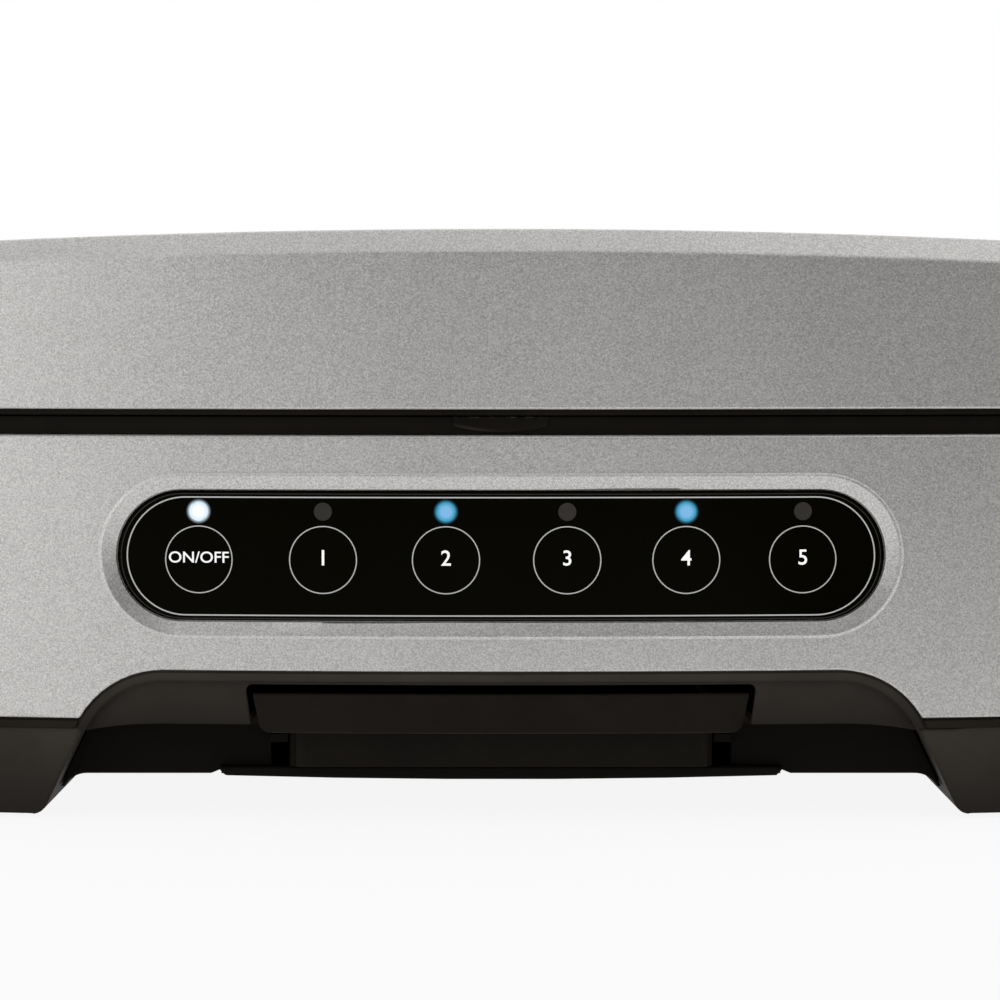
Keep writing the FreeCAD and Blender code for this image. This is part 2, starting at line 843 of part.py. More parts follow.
def lower_plate():
    floor = lower_face - cook_lip - rib_height
    plate = cook_plate(lower_seat, lower_back, lower_seat, floor, lower_face - cook_lip)
    plate = with_heater_bosses(plate, lower_back, -1)
    drain = Part.makeCylinder(drain_radius, above_all, Vector(0, drain_y(), 0))
    for x, y in plate_screw_places():
        plate = plate.cut(screw_hole(Vector(x, y, lower_seat), Vector(0, 0, 1), plate_flange - past))
    return plate.cut(drain).removeSplitter()


def upper_plate():
    plate = cook_plate(upper_seat, upper_face, upper_back, upper_floor, upper_face + cook_lip)
    plate = with_heater_bosses(plate, upper_back, 1)
    for x, y in plate_screw_places():
        plate = plate.cut(screw_hole(Vector(x, y, frame_top), Vector(0, 0, -1), plate_flange))
    return plate.removeSplitter()


def drain_y():
    return plate_front + cook_margin + rib_gutter / 2


def element(back, way):
    """Tubular heater bent to a U, lying against the plate's back."""
    z = back + way * (element_gap + element_radius)
    front = plate_front + element_front_margin
    end = plate_back - element_back_margin
    slant = element_bend * (1 - math.sqrt(0.5))
    run = element_half - element_bend
    path = outline([
        Part.LineSegment(Vector(-element_half, end, z), Vector(-element_half, front + element_bend, z)),
        Part.Arc(Vector(-element_half, front + element_bend, z),
                 Vector(-element_half + slant, front + slant, z), Vector(-run, front, z)),
        Part.LineSegment(Vector(-run, front, z), Vector(run, front, z)),
        Part.Arc(Vector(run, front, z), Vector(element_half - slant, front + slant, z),
                 Vector(element_half, front + element_bend, z)),
        Part.LineSegment(Vector(element_half, front + element_bend, z), Vector(element_half, end, z)),
    ])
    ring = Part.Wire([Part.makeCircle(element_radius, Vector(-element_half, end, z), Vector(0, 1, 0))])
    return path.makePipeShell([ring], True, False)


def reflector(back, way):
    """A folded sheet pan that closes over the heater."""
    half = plate_half - plate_ledge - reflector_margin
    front = drain_y() + drain_radius + chute_wall + chute_flange + seat_fit
    end = plate_back - plate_ledge - reflector_margin
    floor = back + way * reflector_depth
    inner = floor - way * reflector_wall
    pan = slab(half, front, end, min(back, floor), max(back, floor), reflector_corner)
    pan = pan.cut(slab(half - reflector_wall, front + reflector_wall, end - reflector_wall,
                       min(back - way * past, inner), max(back - way * past, inner),
                       reflector_corner - reflector_wall))
    for x, y in boss_places():
        pan = pan.cut(screw_hole(Vector(x, y, floor + way * past), Vector(0, 0, -way), 3 * past))
    return pan


def reflector_screws(back, way):
    seats = [Vector(x, y, back + way * reflector_depth) for x, y in boss_places()]
    return [screw(seat, Vector(0, 0, -way), reflector_wall + screw_bite - past) for seat in seats]


def sensor(back, way):
    start = Vector(sensor_x, (plate_front + plate_back) / 2, back)
    return rod(sensor_radius, start, start + Vector(0, 0, way * sensor_height))


def grease_chute():
    low = tray_face_top + chute_clear
    outer = drain_radius + chute_wall
    tube = rod(outer, Vector(0, drain_y(), low), Vector(0, drain_y(), lower_back))
    collar = rod(outer + chute_flange, Vector(0, drain_y(), lower_back - chute_wall),
                 Vector(0, drain_y(), lower_back))
    bore = rod(drain_radius, Vector(0, drain_y(), 0), Vector(0, drain_y(), above_all))
    return tube.fuse(collar).cut(bore)


def control_panel():
    panel = stadium(panel_length, panel_height).common(bow_sheet(panel_sink, panel_bed))
    front = [face for face in panel.Faces if face.Surface.TypeId == "Part::GeomCylinder"
             and abs(face.Surface.Radius - front_bow + panel_sink) < panel_thickness / 4]
    panel = panel.makeChamfer(panel_bevel, front[0].Edges)
    for x in key_places():
        panel = panel.cut(front_rod(window_radius + screw_fit, x, panel_z + window_rise))
    return panel


def front_rod(radius, x, z):
    """A rod from in front of the grill back to the touch board."""
    return rod(radius, front_point(x, z), Vector(x, board_y(), z))


def touch_board():
    half = board_length / 2
    board = block(-half, half, board_y(), board_y() + board_thickness,
                  panel_z - board_height / 2, panel_z + board_height / 2)
    for x, z in board_screw_places():
        start = Vector(x, board_y() - past, z)
        board = board.cut(screw_hole(start, Vector(0, 1, 0), 2 * past + board_thickness))
    return board


def drip_tray():
    back = tray_face_sink + tray_face_wall
    low = tray_face_top - tray_face_height
    top_half = tray_opening_top - tray_top_gap
    low_half = tray_opening_low - tray_low_gap
    face = tray_trapezoid(top_half, low_half, tray_face_top, low)
    low_edges = [edge for edge in face.Edges
                 if edge.BoundBox.YLength > past and edge.BoundBox.ZMax < low + edge_round]
    face = face.makeFillet(tray_face_corner, low_edges).common(bow_sheet(tray_face_sink, back))
    body = slab(tray_half, tray_front, tray_back, tray_low, tray_top, tray_corner)
    body = body.fuse(slab(tray_half + tray_wing, belly_front + past, tray_back, wing_low,
                          wing_low + tray_wing_thickness, tray_corner))
    bridge = block(-tray_half + tray_corner, tray_half - tray_corner, front_y, tray_front + tray_wall,
                   tray_top - tray_wall, tray_top).common(bow_solid(tray_face_sink + past))
    basin = slab(tray_half - tray_wall, tray_front + tray_wall, tray_back - tray_wall, tray_low + tray_wall,
                 tray_top + past, tray_corner - tray_wall)
    return body.fuse([face, bridge]).cut(basin).removeSplitter()


def tray_rail(side):
    reach = sorted((side * (bay_half - rail_width), side * bay_half))
    return block(reach[0], reach[1], belly_front - rail_lead, tray_back, rail_top - rail_thickness, rail_top)


def hinge_guide(side):
    x = side * hinge_x
    half = hinge_post_width / 2 + guide_wall
    front = hinge_y - hinge_post_depth / 2 - guide_wall
    guide = block(x - half, x + half, front, back_y - housing_wall, guide_low, guide_top)
    reach_x = hinge_post_width / 2 + sliding_fit
    reach_y = hinge_post_depth / 2 + sliding_fit
    guide = guide.cut(block(x - reach_x, x + reach_x, hinge_y - reach_y, hinge_y + reach_y,
                            guide_low - past, guide_top + past))
    for sx, z in guide_screw_places():
        if sx * side > 0:
            guide = guide.cut(screw_hole(Vector(sx, back_y, z), Vector(0, -1, 0), guide_screw_length()))
    return guide


def guide_screw_length():
    """From the outside of the back wall to just short of the post."""
    return back_y - hinge_y - hinge_post_depth / 2 - sliding_fit - past


def hinge_post(side):
    x = side * hinge_x
    half = hinge_post_width / 2
    stem = block(x - half, x + half, hinge_y - hinge_post_depth / 2, hinge_y + hinge_post_depth / 2,
                 tie_top, hinge_z)
    left = Vector(x - half, hinge_y, hinge_z)
    right = Vector(x + half, hinge_y, hinge_z)
    post = stem.fuse(rod(knuckle_radius, left, right))
    bore = rod(pin_radius + pin_fit, left - Vector(past, 0, 0), right + Vector(past, 0, 0))
    return post.cut(bore).removeSplitter()


def tie_bar():
    half = hinge_x + hinge_post_width / 2
    depth = hinge_post_depth / 2
    return block(-half, half, hinge_y - depth, hinge_y + depth, tie_low, tie_top)


def bracket_half():
    return hinge_post_width / 2 + cheek_gap + cheek


def lid_bracket(side):
    x = side * hinge_x
    half = bracket_half()
    low = hinge_z - knuckle_radius
    bracket = block(x - half, x + half, lid_back_y, lid_back_y + bracket_plate, low, low + bracket_height)
    for j in (-1, 1):
        reach = sorted((x + j * half, x + j * (half - cheek)))
        ear = block(reach[0], reach[1], lid_back_y, hinge_y, low, hinge_z + knuckle_radius)
        boss = rod(knuckle_radius, Vector(reach[0], hinge_y, hinge_z), Vector(reach[1], hinge_y, hinge_z))
        bracket = bracket.fuse(ear.fuse(boss))
    bracket = bracket.cut(rod(pin_radius + pin_fit, Vector(x - half - past, hinge_y, hinge_z),
                              Vector(x + half + past, hinge_y, hinge_z)))
    for sx, z in bracket_screw_places():
        if sx * side > 0:
            seat = Vector(sx, lid_back_y + bracket_plate, z)
            bracket = bracket.cut(screw_hole(seat, Vector(0, -1, 0), bracket_plate))
    return bracket.removeSplitter()


def hinge_pin(side):
    x = side * hinge_x
    half = bracket_half()
    left = Vector(x - half, hinge_y, hinge_z)
    right = Vector(x + half, hinge_y, hinge_z)
    head = Vector(pin_head, 0, 0)
    pin = rod(pin_radius, left - head, right + head)
    return pin.fuse([rod(pin_head_radius, left - head, left), rod(pin_head_radius, right, right + head)])


def lid_form(inset):
    """The lid's outside, moved in by inset: crowned across its width, with a bevel round its top."""
    form = plan_prism(inset, lid_back_y, lid_low, above_all)
    crown = Part.makeCylinder(lid_crown - inset, body_depth, Vector(0, -body_depth / 2, lid_top - lid_crown),
                              Vector(0, 1, 0))
    form = form.common(crown)
    crowned = max(form.Faces, key=lambda face: face.CenterOfMass.z)
    bevel = lid_bevel - inset * (2 - math.sqrt(2))
    return form.makeChamfer(bevel, crowned.Edges)


def lid_cover():
    cover = lid_form(0)
    inside = lid_form(lid_wall)
    cavity = inside.fuse(plan_prism(lid_wall, lid_back_y, lid_low - past, lid_low + past))
    cover = cover.cut(cavity)
    for x, y in lid_boss_places():
        boss = rod(post_radius, Vector(x, y, frame_top), Vector(x, y, above_all)).common(lid_form(past))
        cover = cover.fuse(boss).cut(screw_hole(Vector(x, y, frame_top), Vector(0, 0, 1), screw_bite))
    half = bracket_half()
    for side in (-1, 1):
        pad = block(side * hinge_x - half, side * hinge_x + half, lid_back_y - lid_wall - bracket_pad,
                    lid_back_y - past, frame_top + sliding_fit, hinge_z - knuckle_radius + bracket_height)
        cover = cover.fuse(pad)
    for x, z in bracket_screw_places():
        cover = cover.cut(screw_hole(Vector(x, lid_back_y, z), Vector(0, -1, 0), lid_wall + bracket_pad))
    for side, y in handle_screw_places():
        seat = Vector(side * (half_width - lid_wall), y, handle_middle())
        cover = cover.cut(screw_hole(seat, Vector(side, 0, 0), lid_wall))
    return cover.removeSplitter()


def handle_middle():
    return lid_low + handle_rise + handle_height / 2


def lid_frame():
    frame = plan_prism(trim_inset, lid_back_y, frame_low, lid_low)
    frame = frame.fuse(plan_prism(lid_wall + sliding_fit, lid_back_y, lid_low, frame_top))
    frame = frame.cut(opening(0, upper_seat, frame_top + past))
    frame = frame.cut(opening(plate_ledge, frame_low - past, upper_seat + past))
    for x, y in lid_boss_places():
        frame = frame.cut(screw_hole(Vector(x, y, frame_low), Vector(0, 0, 1), above_all))
        room = Part.makeCylinder(screw_head_radius + sliding_fit, screw_head_height + screw_head_room,
                                 Vector(x, y, frame_low))
        frame = frame.cut(room)
    for x, y in plate_screw_places():
        frame = frame.cut(screw_hole(Vector(x, y, upper_seat), Vector(0, 0, -1), frame_ledge - past))
    return frame.removeSplitter()


def handle(side):
    low = lid_low + handle_rise
    high = low + handle_height
    near = handle_y - handle_length / 2
    far = handle_y + handle_length / 2
    end = half_width + handle_reach
    loop = block(half_width, end, near, far, low, high)
    upright = [edge for edge in loop.Edges
               if edge.BoundBox.ZLength > past and edge.BoundBox.XMin > end - past]
    loop = loop.makeFillet(handle_corner, upright)
    rounded = [edge for edge in loop.Edges if edge.BoundBox.XMax > half_width + past]
    loop = loop.makeFillet(handle_round, rounded)
    grip = block(half_width - past, end - handle_bar, near + handle_foot, far - handle_foot,
                 low - past, high + past)
    corners = [edge for edge in grip.Edges
               if edge.BoundBox.ZLength > past and edge.BoundBox.XMin > half_width]
    loop = loop.cut(grip.makeFillet(handle_corner / 2, corners))
    for place_side, y in handle_screw_places():
        if place_side > 0:
            loop = loop.cut(screw_hole(Vector(half_width, y, handle_middle()), Vector(1, 0, 0), screw_bite))
    return loop if side > 0 else mirrored(loop)


def power_block(x, width, depth, height):
    """A part standing on the middle line of the power board."""
    y = (power_front + power_back) / 2
    z = housing_low + power_lift + board_thickness
    return block(x - width / 2, x + width / 2, y - depth / 2, y + depth / 2, z, z + height)


def power_board():
    z = housing_low + power_lift
    board = block(-power_length / 2, power_length / 2, power_front, power_back, z, z + board_thickness)
    for x, y in power_screw_places():
        board = board.cut(screw_hole(Vector(x, y, z - past), Vector(0, 0, 1), board_thickness + 2 * past))
    return board


def cord_gland():
    z = housing_low + gland_rise
    out = Vector(gland_x, back_y + gland_proud, z)
    wall = Vector(gland_x, back_y, z)
    inner = Vector(gland_x, back_y - gland_length, z)
    gland = rod(gland_radius, inner, wall).fuse(rod(gland_flange, wall, out))
    return gland.cut(rod(gland_bore, inner, out)).removeSplitter()


save("base_housing", base_housing())
save("bottom_pan", bottom_pan())
save("front_visor", front_visor())

sides = {"left": -1, "right": 1}
ends = {"front": -1, "rear": 1}
feet = []
for end_name, end in ends.items():
    for side_name, side in sides.items():
        save("leg_" + end_name + "_" + side_name, leg(side, end))
        feet.append(Part.makeCylinder(foot_radius, foot_proud + foot_sink, foot_place(side, end)))
save("rubber_feet", *feet)
up = Vector(0, 0, 1)
leg_screw_length = housing_low + post_height - 2 * past - leg_screw_seat()
save("leg_screws", *[screw(Vector(x, y, leg_screw_seat()), up, leg_screw_length) for x, y in post_places()])

save("plate_surround", plate_surround())
save("lower_plate", lower_plate())
ledge_low = lower_seat - ledge_thickness
save("lower_plate_screws", *[screw(Vector(x, y, ledge_low), up, ledge_thickness + plate_flange - 2 * past)
                             for x, y in plate_screw_places()])
save("lower_element", element(lower_back, -1))
save("lower_reflector", reflector(lower_back, -1))
save("lower_reflector_screws", *reflector_screws(lower_back, -1))
save("lower_sensor", sensor(lower_back, -1))
save("grease_chute", grease_chute())

save("control_panel", control_panel())
guide_front = bow_solid(panel_sink)
pad_front = bow_solid(panel_bed)
for number, x in enumerate(key_places(), 1):
    light_guide = front_rod(window_radius, x, panel_z + window_rise).common(guide_front)
    save("indicator_" + str(number), light_guide)
save("touch_pads", *[front_rod(pad_radius, x, panel_z - key_drop).common(pad_front) for x in key_places()])
save("touch_board", touch_board())
backwards = Vector(0, -1, 0)
save("touch_board_screws", *[screw(Vector(x, board_y() + board_thickness, z), backwards,
                                   board_thickness + board_gap) for x, z in board_screw_places()])

power_top = housing_low + power_lift + board_thickness
power_half = power_length / 2
save("power_board", power_board())
power_bay = (transformer_width / 2 + power_half) / 2
save("relay", power_block(-power_bay, relay_width, relay_depth, relay_height))
save("transformer", power_block(0, transformer_width, transformer_depth, transformer_height))
save("terminal_block", power_block(power_bay, terminal_width, terminal_depth, terminal_height))
save("power_board_screws", *[screw(Vector(x, y, power_top), -up, board_thickness + power_lift - past)
                             for x, y in power_screw_places()])
save("cord_gland", cord_gland())

for side_name, side in sides.items():
    save("hinge_guide_" + side_name, hinge_guide(side))
    save("tray_rail_" + side_name, tray_rail(side))
    save("hinge_post_" + side_name, hinge_post(side))
    save("lid_bracket_" + side_name, lid_bracket(side))
    save("hinge_pin_" + side_name, hinge_pin(side))
    save("handle_" + side_name, handle(side))
save("guide_screws", *[screw(Vector(x, back_y, z), backwards, guide_screw_length())
                       for x, z in guide_screw_places()])
save("tie_bar", tie_bar())

save("lid_cover", lid_cover())
save("lid_frame", lid_frame())
frame_screw_z = frame_low + screw_head_height + screw_head_room
save("frame_screws", *[screw(Vector(x, y, frame_screw_z), up, frame_top + screw_bite - past - frame_screw_z)
                       for x, y in lid_boss_places()])
save("upper_plate", upper_plate())
save("upper_plate_screws", *[screw(Vector(x, y, frame_top), -up, plate_flange + frame_ledge - 2 * past)
                             for x, y in plate_screw_places()])
save("upper_element", element(upper_back, 1))
save("upper_reflector", reflector(upper_back, 1))
save("upper_reflector_screws", *reflector_screws(upper_back, 1))
save("upper_sensor", sensor(upper_back, 1))
bracket_screw_length = bracket_plate + lid_wall + bracket_pad - past
save("bracket_screws", *[screw(Vector(x, lid_back_y + bracket_plate, z), backwards, bracket_screw_length)
                         for x, z in bracket_screw_places()])
save("handle_screws", *[screw(Vector(side * (half_width - lid_wall), y, handle_middle()), Vector(side, 0, 0),
                              lid_wall + screw_bite - past) for side, y in handle_screw_places()])
save("drip_tray", drip_tray())
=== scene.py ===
import json
import math

import bmesh
import bpy
from mathutils import Matrix, Vector
from mathutils.geometry import intersect_point_line

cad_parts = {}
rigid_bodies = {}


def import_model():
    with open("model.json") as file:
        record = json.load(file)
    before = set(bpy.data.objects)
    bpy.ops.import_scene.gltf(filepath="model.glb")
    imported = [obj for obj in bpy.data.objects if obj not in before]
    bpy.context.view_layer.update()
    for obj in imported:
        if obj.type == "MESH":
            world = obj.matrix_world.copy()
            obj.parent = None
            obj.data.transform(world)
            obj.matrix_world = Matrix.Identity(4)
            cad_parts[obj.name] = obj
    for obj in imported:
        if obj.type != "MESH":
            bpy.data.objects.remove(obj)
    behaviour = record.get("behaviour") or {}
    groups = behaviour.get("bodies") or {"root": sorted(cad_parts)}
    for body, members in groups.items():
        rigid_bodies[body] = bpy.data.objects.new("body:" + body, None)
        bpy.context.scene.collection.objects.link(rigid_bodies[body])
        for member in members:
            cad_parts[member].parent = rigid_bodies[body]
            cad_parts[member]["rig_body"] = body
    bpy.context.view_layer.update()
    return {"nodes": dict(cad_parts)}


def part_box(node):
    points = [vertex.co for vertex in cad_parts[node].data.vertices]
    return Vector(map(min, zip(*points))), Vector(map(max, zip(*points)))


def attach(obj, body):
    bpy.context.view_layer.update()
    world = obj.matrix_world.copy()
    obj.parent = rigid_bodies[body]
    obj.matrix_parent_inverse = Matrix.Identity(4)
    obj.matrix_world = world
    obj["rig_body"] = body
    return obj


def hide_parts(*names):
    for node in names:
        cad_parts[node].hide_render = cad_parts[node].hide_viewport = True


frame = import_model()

MM = 0.001

# Bottom pan, visor and legs: the black underside of the base.
# They are mouldings of filled black plastic with a fine matt texture from the spark-eroded tool.
# Each leg is screwed up through the pan into a post of the housing; the visor hooks behind the arch.
MOULD_TEXTURE = 0.30
MOULD_CLOUD = 14.0
MOULD_RELIEF = 0.012
CLOUD_DARK = 0.86
CLOUD_LIGHT = 1.14
# How much paler the painted highlights make the moulding.
GLINT_PALER = 7
PAN_WARMTH = 0.24
LEG_WARMTH = 0.15
WELD_REACH = 0.002 * MM
FLAT_ANGLE = math.radians(0.02)
SHARP_ANGLE = math.radians(30)
FOLD_ANGLE = math.radians(150)
SHORT_EDGE = 0.45 * MM
ROOM_IN_WIDTHS = 4


class Wire:
    """One output of a node; arithmetic on it adds Math nodes."""

    def __init__(self, graph, socket):
        self.graph = graph
        self.socket = socket

    def __add__(self, other):
        return self.graph.maths("ADD", self, other)

    def __radd__(self, other):
        return self.graph.maths("ADD", other, self)

    def __sub__(self, other):
        return self.graph.maths("SUBTRACT", self, other)

    def __rsub__(self, other):
        return self.graph.maths("SUBTRACT", other, self)

    def __mul__(self, other):
        return self.graph.maths("MULTIPLY", self, other)

    def __rmul__(self, other):
        return self.graph.maths("MULTIPLY", other, self)

    def __pow__(self, other):
        return self.graph.maths("POWER", self, other)

    def __rpow__(self, other):
        return self.graph.maths("POWER", other, self)


class Graph:
    """A node tree that is filled through one method."""

    def __init__(self, tree):
        self.tree = tree
        self.tree.nodes.clear()

    def node(self, kind, settings=None, sockets=None, output=0):
        made = self.tree.nodes.new(kind)
        for key, value in (settings or {}).items():
            setattr(made, key, value)
        for key, value in (sockets or {}).items():
            if isinstance(value, Wire):
                self.tree.links.new(value.socket, made.inputs[key])
            else:
                made.inputs[key].default_value = value
        return Wire(self, made.outputs[output]) if made.outputs else None

    def maths(self, operation, *terms):
        return self.node("ShaderNodeMath", {"operation": operation}, dict(enumerate(terms)))


class Finish(Graph):
    """A material whose patterns are measured in millimetres on the piece."""

    def __init__(self, name):
        self.material = bpy.data.materials.new(name)
        self.material.use_nodes = True
        super().__init__(self.material.node_tree)
        self.place = self.node("ShaderNodeTexCoord", output="Object")

    def axis(self, name):
        """How far along X, Y or Z a place on the piece lies."""
        return self.node("ShaderNodeSeparateXYZ", sockets={"Vector": self.place}, output=name)

    def grain(self, size, detail=2.0, place=None):
        """Soft noise with lumps of about this size in millimetres, from 0 to 1."""
        sockets = {"Vector": place or self.place, "Scale": 1 / (size * MM), "Detail": detail}
        return self.node("ShaderNodeTexNoise", sockets=sockets)

    def specks(self, size):
        """A random value from 0 to 1 for each cell of this size."""
        sockets = {"Vector": self.place, "Scale": 1 / (size * MM)}
        cells = self.node("ShaderNodeTexVoronoi", sockets=sockets, output="Color")
        return self.node("ShaderNodeSeparateColor", sockets={"Color": cells})

    def stretch(self, value, start, end, low, high):
        sockets = {"Value": value, "From Min": start, "From Max": end, "To Min": low, "To Max": high}
        return self.node("ShaderNodeMapRange", sockets=sockets)

    def tint(self, mask, first, second):
        """The first colour where mask is 0, the second where it is 1."""
        sockets = {0: mask, 6: first, 7: second}
        return self.node("ShaderNodeMix", {"data_type": "RGBA"}, sockets, 2)

    def bump(self, height, depth):
        """Relief of this depth in millimetres where height goes from 0 to 1."""
        return self.node("ShaderNodeBump", sockets={"Height": height, "Distance": depth * MM})

    def surface(self, sockets):
        shader = self.node("ShaderNodeBsdfPrincipled", sockets=sockets)
        self.node("ShaderNodeOutputMaterial", sockets={"Surface": shader})
        return self.material


def grey(level, warmth=0.0):
    """A linear grey, with red raised and blue lowered by warmth."""
    return (level * (1 + warmth), level, level * (1 - warmth), 1.0)


def black_plastic(name, level, rough, shine, warmth=PAN_WARMTH, shade=None, painted_glint=None):
    """Textured black moulding; level is its colour, shine its gloss against a plain plastic's 0.5.

    shade gives a low height, a high one and the share of the colour that is left at the low one,
    as painted shade darkening downwards; the last argument masks painted highlights, which make the moulding
    paler.
    """
    finish = Finish(name)
    texture = finish.grain(MOULD_TEXTURE, 3.0)
    cloud = finish.grain(MOULD_CLOUD, 3.0)
    patch = finish.stretch(cloud, 0.3, 0.7, 0.0, 1.0)
    color = finish.tint(patch, grey(level * CLOUD_DARK, warmth), grey(level * CLOUD_LIGHT, warmth))
    # Painted shade: between the two heights the colour darkens downwards to the given share.
    if shade:
        low, high, share = shade
        rise = finish.stretch(finish.axis("Z"), low, high, 0.0, 1.0)
        color = finish.tint(rise, grey(level * share, warmth), color)
    # Painted highlight: the mask makes the moulding paler where light would catch it.
    if painted_glint:
        color = finish.tint(painted_glint(finish), color, grey(level * GLINT_PALER, warmth / 2))
    roughness = finish.stretch(texture, 0.3, 0.7, rough, rough + 0.14) + 0.06 * cloud
    return finish.surface({"Base Color": color, "Roughness": roughness, "Specular IOR Level": shine,
                           "Normal": finish.bump(texture, MOULD_RELIEF)})


def welded(name):
    """A merged copy of a frame node's mesh, with its flat stretches joined and shaded smooth."""
    shape = bmesh.new()
    shape.from_mesh(frame["nodes"][name].data)
    bmesh.ops.remove_doubles(shape, verts=shape.verts, dist=WELD_REACH)
    bmesh.ops.dissolve_limit(shape, angle_limit=FLAT_ANGLE, verts=shape.verts, edges=shape.edges)
    for face in shape.faces:
        face.smooth = True
        face.material_index = 0
    for edge in shape.edges:
        edge.smooth = edge.calc_face_angle(math.pi) < SHARP_ANGLE
    return shape


def room_beside(edge):
    """How far the narrower of an edge's two faces reaches away from it."""
    start = edge.verts[0].co
    along = (edge.verts[1].co - start).normalized()
    reaches = []
    for face in edge.link_faces:
        offsets = [corner.co - start for corner in face.verts]
        reaches.append(max((offset - along * offset.dot(along)).length for offset in offsets))
    return min(reaches)


def creases(shape):
    """The ends of the edges where the skin turns back on itself."""
    folds = [edge for edge in shape.edges if edge.is_manifold and edge.calc_face_angle() > FOLD_ANGLE]
    return [corner.co for edge in folds for corner in edge.verts]


def near_edge(edge, place):
    """Distance from a place to the nearest point of an edge."""
    ends = [corner.co for corner in edge.verts]
    share = intersect_point_line(place, *ends)[1]
    return (place - ends[0].lerp(ends[1], min(max(share, 0), 1))).length


def softened(shape, width):
    """A copy with rounded edges; an edge stays sharp where there is no room for the rounding."""
    picked = [edge for edge in shape.edges if not edge.smooth and edge.calc_length() > SHORT_EDGE
              and room_beside(edge) > ROOM_IN_WIDTHS * width]
    own_creases = len(creases(shape))
    while True:
        rounded = shape.copy()
        rounded.edges.ensure_lookup_table()
        bmesh.ops.bevel(rounded, geom=[rounded.edges[edge.index] for edge in picked], offset=width,
                        offset_type="OFFSET", affect="EDGES", segments=2, profile=0.5, clamp_overlap=False)
        bmesh.ops.triangulate(rounded, faces=rounded.faces)
        folds = creases(rounded)
        tight = {edge for edge in picked for fold in folds if near_edge(edge, fold) < 2 * width}
        if len(folds) <= own_creases or not tight:
            return rounded
        picked = [edge for edge in picked if edge not in tight]
        rounded.free()


def finished(name, material, edge_width):
    """Stand a copy of a frame node with softened edges, this wide in millimetres, in for the node."""
    node = frame["nodes"][name]
    shape = welded(name)
    shape.edges.index_update()
    rounded = softened(shape, edge_width * MM)
    mesh = bpy.data.meshes.new(name + "_finished")
    rounded.to_mesh(mesh)
    rounded.free()
    shape.free()
    mesh.materials.append(material)
    piece = bpy.data.objects.new(name + "_finished", mesh)
    bpy.context.scene.collection.objects.link(piece)
    flatten = piece.modifiers.new("flat faces", "WEIGHTED_NORMAL")
    flatten.keep_sharp = True
    belong(piece, node["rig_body"], node.data.materials[0].name, name)


def belong(piece, body, slot, *nodes):
    """Let a piece ride on a body and stand in for the named nodes, if any."""
    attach(piece, body)
    if nodes:
        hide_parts(*nodes)


def node_finish(names, material):
    """Give frame nodes that are shown as they are their material."""
    for name in names:
        frame["nodes"][name].material_slots[0].material = material


leg_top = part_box("leg_front_left")[1].z
visor_low, visor_high = (corner.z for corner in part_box("front_visor"))
# Pan, visor and legs are one plastic set to different colour levels as painted light and shade; each also
# darkens downwards as painted shade, most on the pan's recessed belly below the legs' tops.
pan_black = black_plastic("matt_black_moulding", level=0.0172, rough=0.46, shine=0.05,
                          shade=(leg_top - 1.0 * MM, leg_top, 0.42))
visor_black = black_plastic("visor_black_moulding", level=0.057, rough=0.50, shine=0.045, warmth=LEG_WARMTH,
                            shade=(visor_low, visor_high, 0.38))
leg_black = black_plastic("leg_black_moulding", level=0.048, rough=0.50, shine=0.045, warmth=LEG_WARMTH,
                          shade=(0.0, leg_top, 0.48))
finished("bottom_pan", pan_black, 0.4)
finished("front_visor", visor_black, 0.35)
for end in ("front", "rear"):
    for side in ("left", "right"):
        finished(f"leg_{end}_{side}", leg_black, 0.8)
node_finish(("tray_rail_left", "tray_rail_right"), pan_black)

# Rubber feet: four round pads of soft black rubber.
# They are pressed into pockets under the legs and keep the grill from sliding.
rubber = Finish("foot_rubber_matt")
rubber_grain = rubber.grain(0.5, 4.0)
rubber_dust = rubber.stretch(rubber.grain(5.0, 3.0), 0.45, 0.75, 0.0, 1.0)
finished("rubber_feet", rubber.surface({
    "Base Color": rubber.tint(rubber_dust, grey(0.010), grey(0.022, 0.05)),
    "Roughness": rubber.stretch(rubber_grain, 0.3, 0.7, 0.72, 0.92),
    "Normal": rubber.bump(rubber_grain, 0.03),
}), 0.6)

# Screws: pan-headed steel screws with a cross recess, zinc plated.
# They hold the legs, plates, boards, hinge parts and handles; every group has the same head and thread size.
SCREW_HEAD_RADIUS = 3.6 * MM
SCREW_HEAD_HEIGHT = 2.2 * MM
SCREW_SHANK_RADIUS = 2.0 * MM
HEAD_WALL = 0.55
CROWN_FLAT = 0.7
RECESS_LENGTH = 1.15
RECESS_WIDTH = 0.26
SCREW_WAYS = {
    "leg_screws": (0, 0, 1),
    "lower_plate_screws": (0, 0, 1),
    "lower_reflector_screws": (0, 0, 1),
    "touch_board_screws": (0, -1, 0),
    "power_board_screws": (0, 0, -1),
    "guide_screws": (0, -1, 0),
    "frame_screws": (0, 0, 1),
    "upper_plate_screws": (0, 0, -1),
    "upper_reflector_screws": (0, 0, -1),
    "bracket_screws": (0, -1, 0),
    "handle_screws": (1, 0, 0),
}


